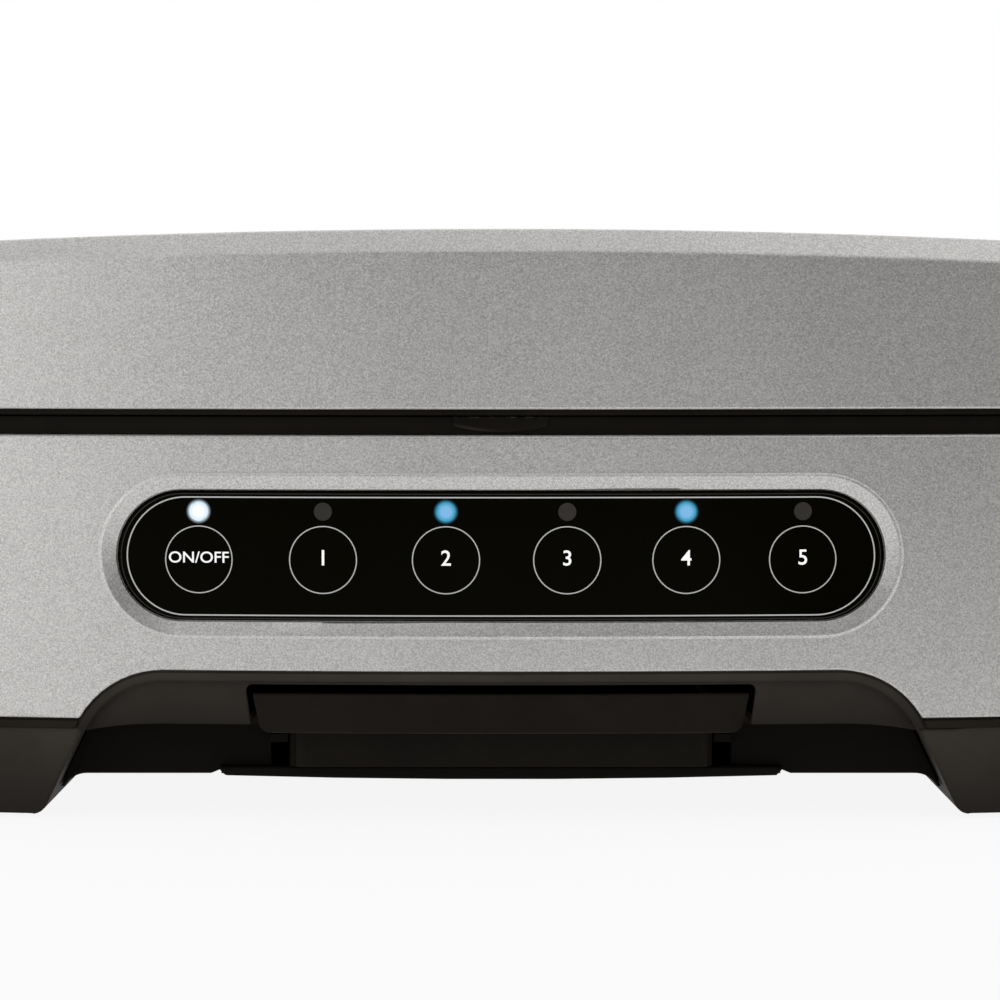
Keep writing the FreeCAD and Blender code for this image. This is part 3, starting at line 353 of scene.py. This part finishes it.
class Pattern(Graph):
    """A Geometry Nodes tree with named sizes."""

    def __init__(self, name, sizes):
        super().__init__(bpy.data.node_groups.new(name, "GeometryNodeTree"))
        self.tree.interface.new_socket("Geometry", in_out="OUTPUT", socket_type="NodeSocketGeometry")
        self.tree.interface.new_socket("Geometry", in_out="INPUT", socket_type="NodeSocketGeometry")
        for size in sizes:
            self.tree.interface.new_socket(size, in_out="INPUT", socket_type="NodeSocketFloat")
        self.given = self.tree.nodes.new("NodeGroupInput")

    def size(self, name):
        return Wire(self, self.given.outputs[name])

    def vector(self, x=0.0, y=0.0, z=0.0):
        return self.node("ShaderNodeCombineXYZ", sockets={"X": x, "Y": y, "Z": z})

    def joined(self, *shapes):
        join = self.tree.nodes.new("GeometryNodeJoinGeometry")
        for shape in shapes:
            self.tree.links.new(shape.socket, join.inputs[0])
        return Wire(self, join.outputs[0])

    def ends_in(self, shape, material):
        solid = self.node("GeometryNodeRealizeInstances", sockets={"Geometry": shape})
        dressed = self.node("GeometryNodeSetMaterial", sockets={"Geometry": solid, "Material": material})
        self.node("NodeGroupOutput", sockets={"Geometry": dressed})

    def made(self, name, mesh, sizes, material):
        """A plain mesh piece, from the tree run on mesh with these sizes."""
        piece = bpy.data.objects.new(name, mesh)
        bpy.context.scene.collection.objects.link(piece)
        run = piece.modifiers.new("pattern", "NODES")
        run.node_group = self.tree
        for socket in self.tree.interface.items_tree:
            if socket.in_out == "INPUT" and socket.name in sizes:
                run[socket.identifier] = sizes[socket.name]
        seen = piece.evaluated_get(bpy.context.evaluated_depsgraph_get())
        plain = bpy.data.meshes.new_from_object(seen)
        piece.modifiers.remove(run)
        piece.data = plain
        plain.name = name
        plain.materials.clear()
        plain.materials.append(material)
        return piece


def zinc_plate():
    finish = Finish("zinc_plated_steel")
    patch = finish.grain(1.6, 4.0)
    scratch = finish.grain(0.25, 2.0)
    color = finish.tint(patch, (0.40, 0.40, 0.41, 1), (0.56, 0.55, 0.53, 1))
    return finish.surface({"Base Color": color, "Metallic": 1.0,
                           "Roughness": finish.stretch(patch, 0.3, 0.7, 0.24, 0.42),
                           "Normal": finish.bump(scratch, 0.006)})


def screw_pattern(material):
    """A tree that puts a screw on every point, head at the point and shank along the point's way."""
    pattern = Pattern("pan_head_screw", ("Head Radius", "Head Height", "Shank Radius", "Shank Length"))
    radius = pattern.size("Head Radius")
    height = pattern.size("Head Height")
    length = pattern.size("Shank Length")
    wall = height * HEAD_WALL
    crown = height - wall

    def raised(kind, sockets, z):
        shape = pattern.node(kind, sockets=sockets)
        return pattern.node("GeometryNodeTransform", sockets={
            "Geometry": shape, "Translation": pattern.vector(z=z)})

    def recess_arm(x, y):
        size = pattern.vector(radius * x, radius * y, height)
        return raised("GeometryNodeMeshCube", {"Size": size}, -1 * height)

    solids = pattern.joined(
        raised("GeometryNodeMeshCylinder", {"Vertices": 32, "Radius": radius, "Depth": wall}, wall * -0.5),
        raised("GeometryNodeMeshCone", {"Vertices": 32, "Radius Bottom": radius * CROWN_FLAT,
                                        "Radius Top": radius, "Depth": crown}, -1 * height),
        raised("GeometryNodeMeshCylinder", {"Vertices": 24, "Radius": pattern.size("Shank Radius"),
                                            "Depth": length}, length * 0.5))
    arms = pattern.joined(recess_arm(RECESS_LENGTH, RECESS_WIDTH), recess_arm(RECESS_WIDTH, RECESS_LENGTH))
    union = {"operation": "UNION", "solver": "EXACT"}
    minus = {"operation": "DIFFERENCE", "solver": "EXACT"}
    whole = pattern.node("GeometryNodeMeshBoolean", union, {1: solids, 2: True})
    cross = pattern.node("GeometryNodeMeshBoolean", union, {1: arms, 2: True})
    cut = pattern.node("GeometryNodeMeshBoolean", minus, {0: whole, 1: cross})
    way = pattern.node("GeometryNodeInputNamedAttribute", {"data_type": "FLOAT_VECTOR"}, {"Name": "way"})
    turn = pattern.node("FunctionNodeAlignRotationToVector", {"axis": "Z"}, {"Vector": way})
    points = Wire(pattern, pattern.given.outputs["Geometry"])
    pattern.ends_in(pattern.node("GeometryNodeInstanceOnPoints", sockets={
        "Points": points, "Instance": cut, "Rotation": turn}), material)
    return pattern


def islands(name):
    """The box of each separate solid in a frame node."""
    shape = welded(name)
    left = set(shape.verts)
    boxes = []
    while left:
        reach = [left.pop()]
        corners = []
        while reach:
            corner = reach.pop()
            corners.append(corner.co.copy())
            for edge in corner.link_edges:
                other = edge.other_vert(corner)
                if other in left:
                    left.remove(other)
                    reach.append(other)
        boxes.append([Vector(pick(axis) for axis in zip(*corners)) for pick in (min, max)])
    shape.free()
    return boxes


def screw_group(name, way):
    """One piece for a node of screws; way is the shank's direction, turned outwards along X."""
    seats = []
    ways = []
    for low, high in islands(name):
        middle = (low + high) / 2
        along = Vector(way)
        if way[0]:
            along *= math.copysign(1, middle.x)
        reach = abs((high - low).dot(along)) / 2
        length = 2 * reach - SCREW_HEAD_HEIGHT
        seats.append(middle - along * (reach - SCREW_HEAD_HEIGHT))
        ways.append(along)
    mesh = bpy.data.meshes.new(name + "_seats")
    mesh.from_pydata(seats, [], [])
    attribute = mesh.attributes.new("way", "FLOAT_VECTOR", "POINT")
    for item, along in zip(attribute.data, ways):
        item.vector = along
    sizes = {"Head Radius": SCREW_HEAD_RADIUS, "Head Height": SCREW_HEAD_HEIGHT,
             "Shank Radius": SCREW_SHANK_RADIUS, "Shank Length": length}
    piece = screws.made(name + "_finished", mesh, sizes, zinc)
    belong(piece, frame["nodes"][name]["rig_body"], "screw_steel", name)


zinc = zinc_plate()
screws = screw_pattern(zinc)
for group, way in SCREW_WAYS.items():
    screw_group(group, way)

# Base housing: the silver shell of the base, with the raised surround of the touch panel.
# It is a moulded plastic shell sprayed with a satin metallic paint full of fine aluminium flake.
FLAKE_SIZE = 0.24
PAINT_GRAIN = 0.32
PAINT_CLOUD = 30.0
SILVER_DARK = grey(0.450, 0.022)
SILVER_LIGHT = grey(0.820, 0.022)


def silver_paint():
    finish = Finish("satin_silver_paint")
    flake = finish.specks(FLAKE_SIZE)
    grain = finish.grain(PAINT_GRAIN, 3.0)
    cloud = finish.grain(PAINT_CLOUD, 2.0)
    tone = 0.45 * flake + 0.75 * grain + 0.08 * cloud
    color = finish.tint(finish.stretch(tone, 0.36, 0.92, 0.0, 1.0), SILVER_DARK, SILVER_LIGHT)
    return finish.surface({
        "Base Color": color, "Metallic": 0.62,
        "Roughness": finish.stretch(flake, 0.0, 1.0, 0.34, 0.46),
        "Coat Weight": 0.12, "Coat Roughness": 0.3,
        "Normal": finish.bump(0.5 * flake + grain, 0.010),
    })


silver = silver_paint()
finished("base_housing", silver, 0.45)

# Touch panel: a bowed strip of black gloss acrylic, glued into the recess of the housing.
# Six light guides end flush in its face; around the lit ones the light spreads a little inside the strip.
WINDOW_RADIUS = 2.0 * MM
GLOW_REACH = 0.9 * MM
PANEL_DARK = (0.0020, 0.0017, 0.0002, 1)
PANEL_LIGHT = (0.0030, 0.0027, 0.0004, 1)
LAMP_LIGHT = {
    "indicator_1": ((0.97, 0.98, 1.0, 1), (0.70, 0.86, 0.95, 1)),
    "indicator_3": ((0.19, 0.47, 0.78, 1), (0.05, 0.33, 0.52, 1)),
    "indicator_5": ((0.19, 0.47, 0.78, 1), (0.05, 0.33, 0.52, 1)),
}


def window_place(name):
    low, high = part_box(name)
    return (low + high) / 2


def from_axis(finish, place):
    """Distance from a line along Y through place."""
    across = finish.axis("X") - place.x
    upward = finish.axis("Z") - place.z
    return (across * across + upward * upward) ** 0.5


def panel_gloss():
    finish = Finish("black_gloss_acrylic")
    smear = finish.grain(9.0, 4.0)
    light = grey(0.0)
    for name, (_, halo) in LAMP_LIGHT.items():
        distance = from_axis(finish, window_place(name))
        glow = finish.stretch(distance, WINDOW_RADIUS, WINDOW_RADIUS + GLOW_REACH, 1.0, 0.0)
        light = finish.tint(glow * glow, light, halo)
    return finish.surface({
        "Base Color": finish.tint(smear, PANEL_DARK, PANEL_LIGHT),
        "Roughness": finish.stretch(smear, 0.3, 0.7, 0.10, 0.20),
        "Specular IOR Level": 0.02,
        "Emission Color": light, "Emission Strength": 1.0,
    })


def lit_lamp(name, core, halo):
    finish = Finish(name + "_lit")
    distance = from_axis(finish, window_place(name))
    uneven = distance + 0.15 * MM * finish.grain(0.8)
    edge = finish.stretch(uneven, 0.6 * WINDOW_RADIUS, WINDOW_RADIUS, 0.0, 1.0)
    color = finish.tint(edge, core, halo)
    return finish.surface({"Base Color": finish.tint(edge, grey(0.03), grey(0.01)),
                           "Roughness": finish.stretch(edge, 0.0, 1.0, 0.3, 0.45),
                           "Specular IOR Level": 0.1, "Emission Color": color, "Emission Strength": 1.0})


def dark_lamp():
    finish = Finish("smoked_light_guide")
    haze = finish.grain(0.7, 3.0)
    return finish.surface({"Base Color": finish.tint(haze, grey(0.036, 0.12), grey(0.054, 0.10)),
                           "Roughness": finish.stretch(haze, 0.3, 0.7, 0.25, 0.4),
                           "Specular IOR Level": 0.08})


finished("control_panel", panel_gloss(), 0.12)
smoked = dark_lamp()
for number in range(1, 7):
    lamp = f"indicator_{number}"
    finished(lamp, lit_lamp(lamp, *LAMP_LIGHT[lamp]) if lamp in LAMP_LIGHT else smoked, 0.08)

# Print on the touch panel: an outline, six key rings and their marks, and a fine grey line along the rim.
# It is ink, screen printed on the gloss face in a film a few hundredths of a millimetre thick.
# The marks let some light of the board behind them through; the lines do not.
PANEL_BOW = 699.4 * MM
INK_FILM = 0.05 * MM
OUTLINE_LENGTH = 166.1 * MM
OUTLINE_HEIGHT = 26.2 * MM
OUTLINE_LINE = 0.30 * MM
OUTLINE_Z = 59.25 * MM
RIM_LINE_LENGTH = 168.8 * MM
RIM_LINE_HEIGHT = 27.7 * MM
RIM_LINE = 0.18 * MM
RING_DIAMETER = 14.85 * MM
RING_LINE = 0.25 * MM
KEY_Z = 58.5 * MM
MARK_RISE = 0.5 * MM
KEY_MARKS = ("ON/OFF", "1", "2", "3", "4", "5")
WORD_HEIGHT = 2.5 * MM
WORD_WIDTH = 13.4 * MM
NUMBER_HEIGHT = 3.4 * MM
STROKE_SWELL = 0.008
MARK_WELD = 0.0001 * MM
MARK_SLIVER = 0.002 * MM
INK_LOW = 0.66
INK_HIGH = 0.82


def mark_mesh(text, place):
    """Flat lettering, centred on place, facing the front."""
    curve = bpy.data.curves.new("mark", "FONT")
    curve.body = text
    curve.extrude = 0.5
    curve.offset = STROKE_SWELL
    letters = bpy.data.objects.new("mark", curve)
    bpy.context.scene.collection.objects.link(letters)
    mesh = bpy.data.meshes.new_from_object(letters)
    bpy.data.objects.remove(letters)
    spans = [(min(values), max(values)) for values in zip(*(vertex.co for vertex in mesh.vertices))]
    size = [high - low for low, high in spans]
    middle = Vector((low + high) / 2 for low, high in spans)
    height = WORD_HEIGHT if len(text) > 1 else NUMBER_HEIGHT
    width = WORD_WIDTH if len(text) > 1 else height * size[0] / size[1]
    shrink = Matrix.Diagonal((width / size[0], height / size[1], INK_FILM, 1))
    stand = Matrix.Rotation(math.pi / 2, 4, "X")
    mesh.transform(Matrix.Translation(place) @ stand @ shrink @ Matrix.Translation(-middle))
    return mesh


def panel_ink(name, low, high, glow):
    """Ink whose colour goes from low to high, and how much light it lets through."""
    ink = Finish(name)
    speckle = ink.grain(0.12, 3.0)
    color = ink.tint(speckle, grey(low), grey(high))
    return ink.surface({"Base Color": color, "Roughness": ink.stretch(speckle, 0.3, 0.7, 0.45, 0.65),
                        "Emission Color": color, "Emission Strength": glow})


def line_pattern(material):
    """A tree that puts a ring on every point, adds an outline round them and bows both over the panel."""
    pattern = Pattern("panel_lines", ("Face", "Bow", "Film", "Outline Length", "Outline Height",
                                      "Outline Line", "Outline Z", "Ring Diameter", "Ring Line"))

    def upright(curve, line, z):
        profile = pattern.node("GeometryNodeCurvePrimitiveQuadrilateral", sockets={
            "Width": pattern.size(line), "Height": pattern.size("Film")})
        ribbon = pattern.node("GeometryNodeCurveToMesh", sockets={"Curve": curve, "Profile Curve": profile})
        turn = pattern.vector(x=math.pi / 2)
        return pattern.node("GeometryNodeTransform", sockets={
            "Geometry": ribbon, "Rotation": turn, "Translation": pattern.vector(z=z)})

    height = pattern.size("Outline Height")
    plate = pattern.node("GeometryNodeCurvePrimitiveQuadrilateral", sockets={
        "Width": pattern.size("Outline Length"), "Height": height})
    rounded = pattern.node("GeometryNodeFilletCurve", {"mode": "POLY"}, {
        "Curve": plate, "Radius": height * 0.5, "Limit Radius": True, "Count": 32})
    track = pattern.node("GeometryNodeResampleCurve", {"mode": "LENGTH"}, {
        "Curve": rounded, "Length": 0.8 * MM})
    border = upright(track, "Outline Line", pattern.size("Outline Z"))
    circle = pattern.node("GeometryNodeCurvePrimitiveCircle", sockets={
        "Resolution": 72, "Radius": pattern.size("Ring Diameter") * 0.5})
    keys = Wire(pattern, pattern.given.outputs["Geometry"])
    rings = pattern.node("GeometryNodeInstanceOnPoints", sockets={
        "Points": keys, "Instance": upright(circle, "Ring Line", 0.0)})
    flat = pattern.node("GeometryNodeRealizeInstances", sockets={"Geometry": pattern.joined(border, rings)})
    place = pattern.node("GeometryNodeInputPosition")
    across = pattern.node("ShaderNodeSeparateXYZ", sockets={"Vector": place})
    bow = pattern.size("Bow")
    inward = bow - (bow * bow - across * across) ** 0.5
    laid = pattern.node("GeometryNodeSetPosition", sockets={
        "Geometry": flat, "Offset": pattern.vector(y=pattern.size("Face") + inward)})
    pattern.ends_in(laid, material)
    return pattern


panel_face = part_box("control_panel")[0].y
key_places = [Vector((window_place(f"indicator_{number}").x, 0, KEY_Z)) for number in range(1, 7)]


def printed_lines(name, ink, points, length, height, line):
    """An outline on the panel, with a key ring at each of the points."""
    mesh = bpy.data.meshes.new(name)
    mesh.from_pydata(points, [], [])
    sizes = {"Face": panel_face, "Bow": PANEL_BOW, "Film": INK_FILM, "Outline Length": length,
             "Outline Height": height, "Outline Line": line, "Outline Z": OUTLINE_Z,
             "Ring Diameter": RING_DIAMETER, "Ring Line": RING_LINE}
    belong(lines.made(name, mesh, sizes, ink), "base", "panel_gloss")


def printed_marks(name, ink):
    """The marks of all keys in one piece."""
    marks = bmesh.new()
    for text, key in zip(KEY_MARKS, key_places):
        marks.from_mesh(mark_mesh(text, key + Vector((0, 0, MARK_RISE))))
    bmesh.ops.remove_doubles(marks, verts=marks.verts, dist=MARK_WELD)
    bmesh.ops.dissolve_degenerate(marks, dist=MARK_SLIVER, edges=marks.edges)
    bmesh.ops.recalc_face_normals(marks, faces=marks.faces)
    for corner in marks.verts:
        corner.co.y += panel_face + PANEL_BOW - (PANEL_BOW ** 2 - corner.co.x ** 2) ** 0.5
    mesh = bpy.data.meshes.new(name)
    marks.to_mesh(mesh)
    marks.free()
    mesh.materials.append(ink)
    piece = bpy.data.objects.new(name, mesh)
    bpy.context.scene.collection.objects.link(piece)
    belong(piece, "base", "panel_gloss")


white_ink = panel_ink("white_screen_ink", INK_LOW, INK_HIGH, 0.0)
lines = line_pattern(white_ink)
printed_lines("panel_print", white_ink, key_places, OUTLINE_LENGTH, OUTLINE_HEIGHT, OUTLINE_LINE)
printed_lines("panel_rim_line", panel_ink("grey_screen_ink", 0.014, 0.023, 0.0), [],
              RIM_LINE_LENGTH, RIM_LINE_HEIGHT, RIM_LINE)
printed_marks("panel_marks", panel_ink("lit_mark_ink", INK_LOW, INK_HIGH, 0.7))

# Electrics inside the base: the touch board, the power board and what is soldered on it.
# The boards are green glass laminate; relay, transformer and terminal block are dark moulded cases.


def board_laminate():
    finish = Finish("green_board_laminate")
    weave = finish.grain(0.5, 2.0)
    tracks = finish.specks(3.0)
    mask = finish.stretch(tracks, 0.45, 0.55, 0.0, 1.0)
    color = finish.tint(mask, (0.010, 0.085, 0.035, 1), (0.018, 0.13, 0.055, 1))
    return finish.surface({"Base Color": color, "Roughness": finish.stretch(weave, 0.3, 0.7, 0.3, 0.5),
                           "Normal": finish.bump(weave, 0.01)})


def case_plastic():
    finish = Finish("dark_case_plastic")
    texture = finish.grain(0.35, 3.0)
    return finish.surface({"Base Color": finish.tint(texture, grey(0.020, -0.05), grey(0.034, -0.05)),
                           "Roughness": finish.stretch(texture, 0.3, 0.7, 0.4, 0.6),
                           "Normal": finish.bump(texture, 0.02)})


def foam_cells():
    finish = Finish("conductive_foam")
    cells = finish.node("ShaderNodeTexVoronoi", sockets={"Vector": finish.place, "Scale": 1 / (0.6 * MM)})
    return finish.surface({"Base Color": finish.tint(cells, grey(0.03), grey(0.07)),
                           "Roughness": finish.stretch(cells, 0.0, 0.6, 0.8, 0.95),
                           "Normal": finish.bump(cells, 0.15)})


node_finish(("touch_board", "power_board"), board_laminate())
case = case_plastic()
node_finish(("relay", "transformer", "terminal_block"), case)
node_finish(("touch_pads",), foam_cells())

# Heaters: tubular elements, bright reflector pans, temperature sensors and the grease chute.
# An element is a steel tube bent to a loop and clamped in the plate's bosses by the sheet pan behind it.


def heater_sheath():
    finish = Finish("heat_tinted_sheath")
    tint = finish.grain(18.0, 3.0)
    scale = finish.grain(0.7, 4.0)
    bands = finish.stretch(tint, 0.35, 0.65, 0.0, 1.0)
    color = finish.tint(bands, (0.30, 0.27, 0.24, 1), (0.20, 0.15, 0.12, 1))
    return finish.surface({"Base Color": color, "Metallic": 0.9,
                           "Roughness": finish.stretch(scale, 0.3, 0.7, 0.38, 0.6),
                           "Normal": finish.bump(scale, 0.02)})


def bright_sheet():
    finish = Finish("bright_rolled_sheet")
    stretched = finish.node("ShaderNodeMapping", sockets={"Vector": finish.place, "Scale": (0.03, 1.0, 1.0)})
    rolling = finish.grain(0.3, 3.0, stretched)
    return finish.surface({"Base Color": finish.tint(rolling, grey(0.62), grey(0.78)), "Metallic": 1.0,
                           "Roughness": finish.stretch(rolling, 0.3, 0.7, 0.18, 0.36),
                           "Normal": finish.bump(rolling, 0.004)})


def sensor_ceramic():
    finish = Finish("white_ceramic_body")
    mottle = finish.grain(1.2, 4.0)
    return finish.surface({"Base Color": finish.tint(mottle, (0.72, 0.69, 0.62, 1), (0.86, 0.84, 0.79, 1)),
                           "Roughness": finish.stretch(mottle, 0.3, 0.7, 0.5, 0.7),
                           "Normal": finish.bump(mottle, 0.02)})


node_finish(("lower_element", "upper_element"), heater_sheath())
bright = bright_sheet()
node_finish(("lower_reflector", "upper_reflector", "grease_chute"), bright)
node_finish(("lower_sensor", "upper_sensor"), sensor_ceramic())

# Cooking plates: cast aluminium plates with ribs, a gutter and heater bosses on their backs.
# They are shot blasted and coated with a dark non-stick layer with fine pale flecks.


def plate_coating():
    finish = Finish("flecked_nonstick_coating")
    flecks = finish.stretch(finish.specks(0.5), 0.955, 0.965, 0.0, 1.0)
    peel = finish.grain(0.6, 3.0)
    worn = finish.grain(24.0, 4.0)
    ground = finish.tint(finish.stretch(worn, 0.35, 0.65, 0.0, 1.0), grey(0.017), grey(0.026))
    return finish.surface({"Base Color": finish.tint(flecks * 0.8, ground, grey(0.16)),
                           "Roughness": finish.stretch(peel, 0.3, 0.7, 0.30, 0.44),
                           "Normal": finish.bump(peel, 0.03)})


coating = plate_coating()
finished("lower_plate", coating, 0.5)
finished("upper_plate", coating, 0.5)

# Plate surround and lid frame: the black rims that face each other in the gap.
# They are heat-resistant mouldings, screwed to the silver shells, with a slightly smoother face than the pan.
# The half-moon lip in front carries a painted highlight along its rounded edge and painted glints along its
# top.
LIP_LENGTH = 20.8 * MM
LIP_HEIGHT = 3.4 * MM
LIP_SIDE = 2.1 * MM
LIP_EDGE = 0.8 * MM
LIP_DEPTH = 0.4 * MM
# How far left of the middle the lip's painted highlight is strongest, and how fast it fades.
LIP_GLINT_SHIFT = 0.3 * LIP_LENGTH


def lip_glints(finish):
    """1 where highlights are painted on the lip: along its arc, most at the left, and as glints along its
    top.
    """
    front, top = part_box("plate_surround")[0].y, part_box("plate_surround")[1].z
    sag = LIP_HEIGHT - LIP_SIDE
    radius = (LIP_LENGTH ** 2 / 4 + sag ** 2) / (2 * sag)
    to_arc = from_axis(finish, Vector((0, 0, top - LIP_HEIGHT + radius)))
    from_glint_middle = finish.maths("ABSOLUTE", finish.axis("X") + LIP_GLINT_SHIFT)
    arc = (finish.stretch(to_arc, radius - LIP_EDGE, radius, 0.0, 1.0)
           * finish.stretch(from_glint_middle, 0.0, LIP_GLINT_SHIFT, 0.6, 0.1))
    flecks = (finish.stretch(finish.axis("Z"), top - 0.5 * LIP_EDGE, top - 0.2 * LIP_EDGE, 0.0, 1.0)
              * finish.stretch(finish.grain(1.6), 0.45, 0.6, 0.0, 0.9))
    proud = finish.stretch(finish.axis("Y"), front + 0.8 * LIP_DEPTH, front + LIP_DEPTH, 1.0, 0.0)
    return proud * finish.maths("MAXIMUM", arc, flecks)


RIM_LOOK = {"level": 0.0095, "rough": 0.36, "shine": 0.05}
# The rim's colour carries a painted highlight on the lip's arc and painted glints on its top.
finished("plate_surround", black_plastic("lipped_black_rim", painted_glint=lip_glints, **RIM_LOOK), 0.2)
finished("lid_frame", black_plastic("smooth_black_rim", **RIM_LOOK), 0.2)

# Floating hinge: two steel posts on a tie bar slide in plastic guides, and the lid's brackets turn
# on their pins. Posts and brackets are satin steel, the guides are screwed to the back wall from outside.


def satin_steel():
    finish = Finish("satin_hinge_steel")
    stretched = finish.node("ShaderNodeMapping", sockets={"Vector": finish.place, "Scale": (1.0, 1.0, 0.04)})
    brushed = finish.grain(0.25, 3.0, stretched)
    return finish.surface({"Base Color": finish.tint(brushed, grey(0.36), grey(0.48)), "Metallic": 1.0,
                           "Roughness": finish.stretch(brushed, 0.3, 0.7, 0.28, 0.44),
                           "Normal": finish.bump(brushed, 0.004)})


satin = satin_steel()
node_finish(("tie_bar",), satin)
for side in ("left", "right"):
    finished(f"hinge_guide_{side}", case, 0.4)
    finished(f"hinge_post_{side}", satin, 0.4)
    finished(f"lid_bracket_{side}", satin, 0.4)
    finished(f"hinge_pin_{side}", satin, 0.3)

# Lid cover: the crowned silver shell of the lid, with a bevel round its top.
# It is moulded and sprayed like the base housing and carries the hinge brackets on its back wall.
finished("lid_cover", silver, 0.5)

# Handles: two black grips, one on each end of the lid.
# They are matt mouldings, screwed on from inside the lid.
grip_black = black_plastic("grip_black_moulding", level=0.014, rough=0.44, shine=0.30)
for side in ("left", "right"):
    finished(f"handle_{side}", grip_black, 0.5)

# Cord gland: the ribbed collar in the back wall where the mains lead goes in.
# It is snapped into the wall, in the same black plastic as the pan.
finished("cord_gland", pan_black, 0.4)

# Drip tray: the black box that slides out of the front and catches grease.
# It is one moulding with a front plate, running on the two rails under the pan.
tray_black = black_plastic("tray_black_moulding", level=0.0115, rough=0.38, shine=0.06)
finished("drip_tray", tray_black, 0.5)

# Studio: a pale floor, three soft light panels, three black cards and a camera in front of the grill.
# The room is plain white. The cards show only as reflections: they darken the silver towards the right
# and on the lid's bevel.
CAMERA_PLACE = Vector((-0.0002, -0.905, 0.1086))
CAMERA_AIM = Vector((-0.0002, -0.155, 0.0719))
CAMERA_LENS = 122.7
FLOOR_HALF = 6.0
FLOOR_WHITE = 0.9
ROOM_LIGHT = 0.62
DARK_CARDS = {
    "front_card": [(-0.46, -1.2, 0.02), (1.3, -0.9, 0.02), (1.3, -0.8, 0.9), (-0.46, -1.05, 0.9)],
    "top_card": [(-0.8, -0.5, 1.0), (0.25, -0.5, 1.0), (0.25, -0.2, 1.0), (-0.8, -0.2, 1.0)],
    "floor_card": [(0.15, -0.42, 0.002), (1.2, -0.3, 0.002), (1.4, -1.2, 0.002), (0.3, -1.2, 0.002)],
}


def stage_sheet(name, corners, material):
    """One flat four-cornered sheet of the set."""
    mesh = bpy.data.meshes.new(name)
    mesh.from_pydata(corners, [], [(0, 1, 2, 3)])
    mesh.materials.append(material)
    sheet = bpy.data.objects.new(name, mesh)
    bpy.context.scene.collection.objects.link(sheet)
    return sheet


def seen_rays(graph):
    """1 for rays that show the set itself, straight or in a gloss or through glass."""
    rays = [graph.node("ShaderNodeLightPath", output=f"Is {kind} Ray")
            for kind in ("Camera", "Glossy", "Transmission")]
    return graph.maths("MAXIMUM", graph.maths("MAXIMUM", rays[0], rays[1]), rays[2])


def studio_floor():
    """A matt floor that is seen nearly white and still takes the shadow."""
    finish = Finish("pale_floor")
    drift = finish.grain(400.0, 2.0)
    matt = finish.node("ShaderNodeBsdfPrincipled", sockets={
        "Base Color": finish.tint(drift, grey(0.93), grey(0.96)),
        "Roughness": finish.stretch(drift, 0.3, 0.7, 0.75, 0.85), "Specular IOR Level": 0.1})
    white = finish.node("ShaderNodeEmission", sockets={"Color": grey(1.0), "Strength": 1.0})
    share = FLOOR_WHITE * seen_rays(finish)
    mixed = finish.node("ShaderNodeMixShader", sockets={0: share, 1: matt, 2: white})
    finish.node("ShaderNodeOutputMaterial", sockets={"Surface": mixed})
    corners = [(x * FLOOR_HALF, y * FLOOR_HALF, 0) for x, y in ((-1, -1), (1, -1), (1, 1), (-1, 1))]
    stage_sheet("floor", corners, finish.material)


def shade_cards():
    """Black cards that only the gloss of the grill shows."""
    finish = Finish("black_card_felt")
    felt = finish.grain(20.0, 3.0)
    color = finish.tint(felt, grey(0.03), grey(0.05))
    felt_black = finish.surface({"Base Color": color, "Roughness": 0.95})
    for name, corners in DARK_CARDS.items():
        card = stage_sheet(name, corners, felt_black)
        card.visible_camera = False
        card.visible_diffuse = False
        card.visible_shadow = False


def studio_world():
    """White where it is seen, plainly lit where it only gives light."""
    world = bpy.data.worlds.new("studio")
    bpy.context.scene.world = world
    world.use_nodes = True
    graph = Graph(world.node_tree)
    strength = ROOM_LIGHT + (1 - ROOM_LIGHT) * seen_rays(graph)
    shade = graph.node("ShaderNodeBackground", sockets={"Color": grey(1.0), "Strength": strength})
    graph.node("ShaderNodeOutputWorld", sockets={"Surface": shade})


def light_panel(name, place, aim, width, height, watts):
    """A soft lamp, sizes in metres, that the camera does not see."""
    light = bpy.data.lights.new(name, "AREA")
    light.shape = "RECTANGLE"
    light.size = width
    light.size_y = height
    light.energy = watts
    lamp = bpy.data.objects.new(name, light)
    lamp.location = place
    lamp.rotation_euler = (Vector(aim) - Vector(place)).to_track_quat("-Z", "Y").to_euler()
    lamp.visible_camera = False
    bpy.context.scene.collection.objects.link(lamp)


def front_camera():
    view = bpy.data.cameras.new("front_camera")
    view.lens = CAMERA_LENS
    view.sensor_width = 36.0
    view.clip_start = 0.01
    camera = bpy.data.objects.new("front_camera", view)
    camera.location = CAMERA_PLACE
    camera.rotation_euler = (CAMERA_AIM - CAMERA_PLACE).to_track_quat("-Z", "Y").to_euler()
    bpy.context.scene.collection.objects.link(camera)
    bpy.context.scene.camera = camera


studio_floor()
shade_cards()
studio_world()
light_panel("left_panel", (-1.1, -1.3, 0.4), (0, -0.1, 0.08), width=0.8, height=0.7, watts=1.2)
light_panel("right_panel", (1.5, 0.3, 0.9), (0, 0, 0.1), width=0.8, height=0.8, watts=4.0)
light_panel("rear_panel", (0.0, 1.5, 0.9), (0, 0, 0.1), width=1.4, height=0.8, watts=2.5)
front_camera()
bpy.context.scene.view_settings.view_transform = "Standard"
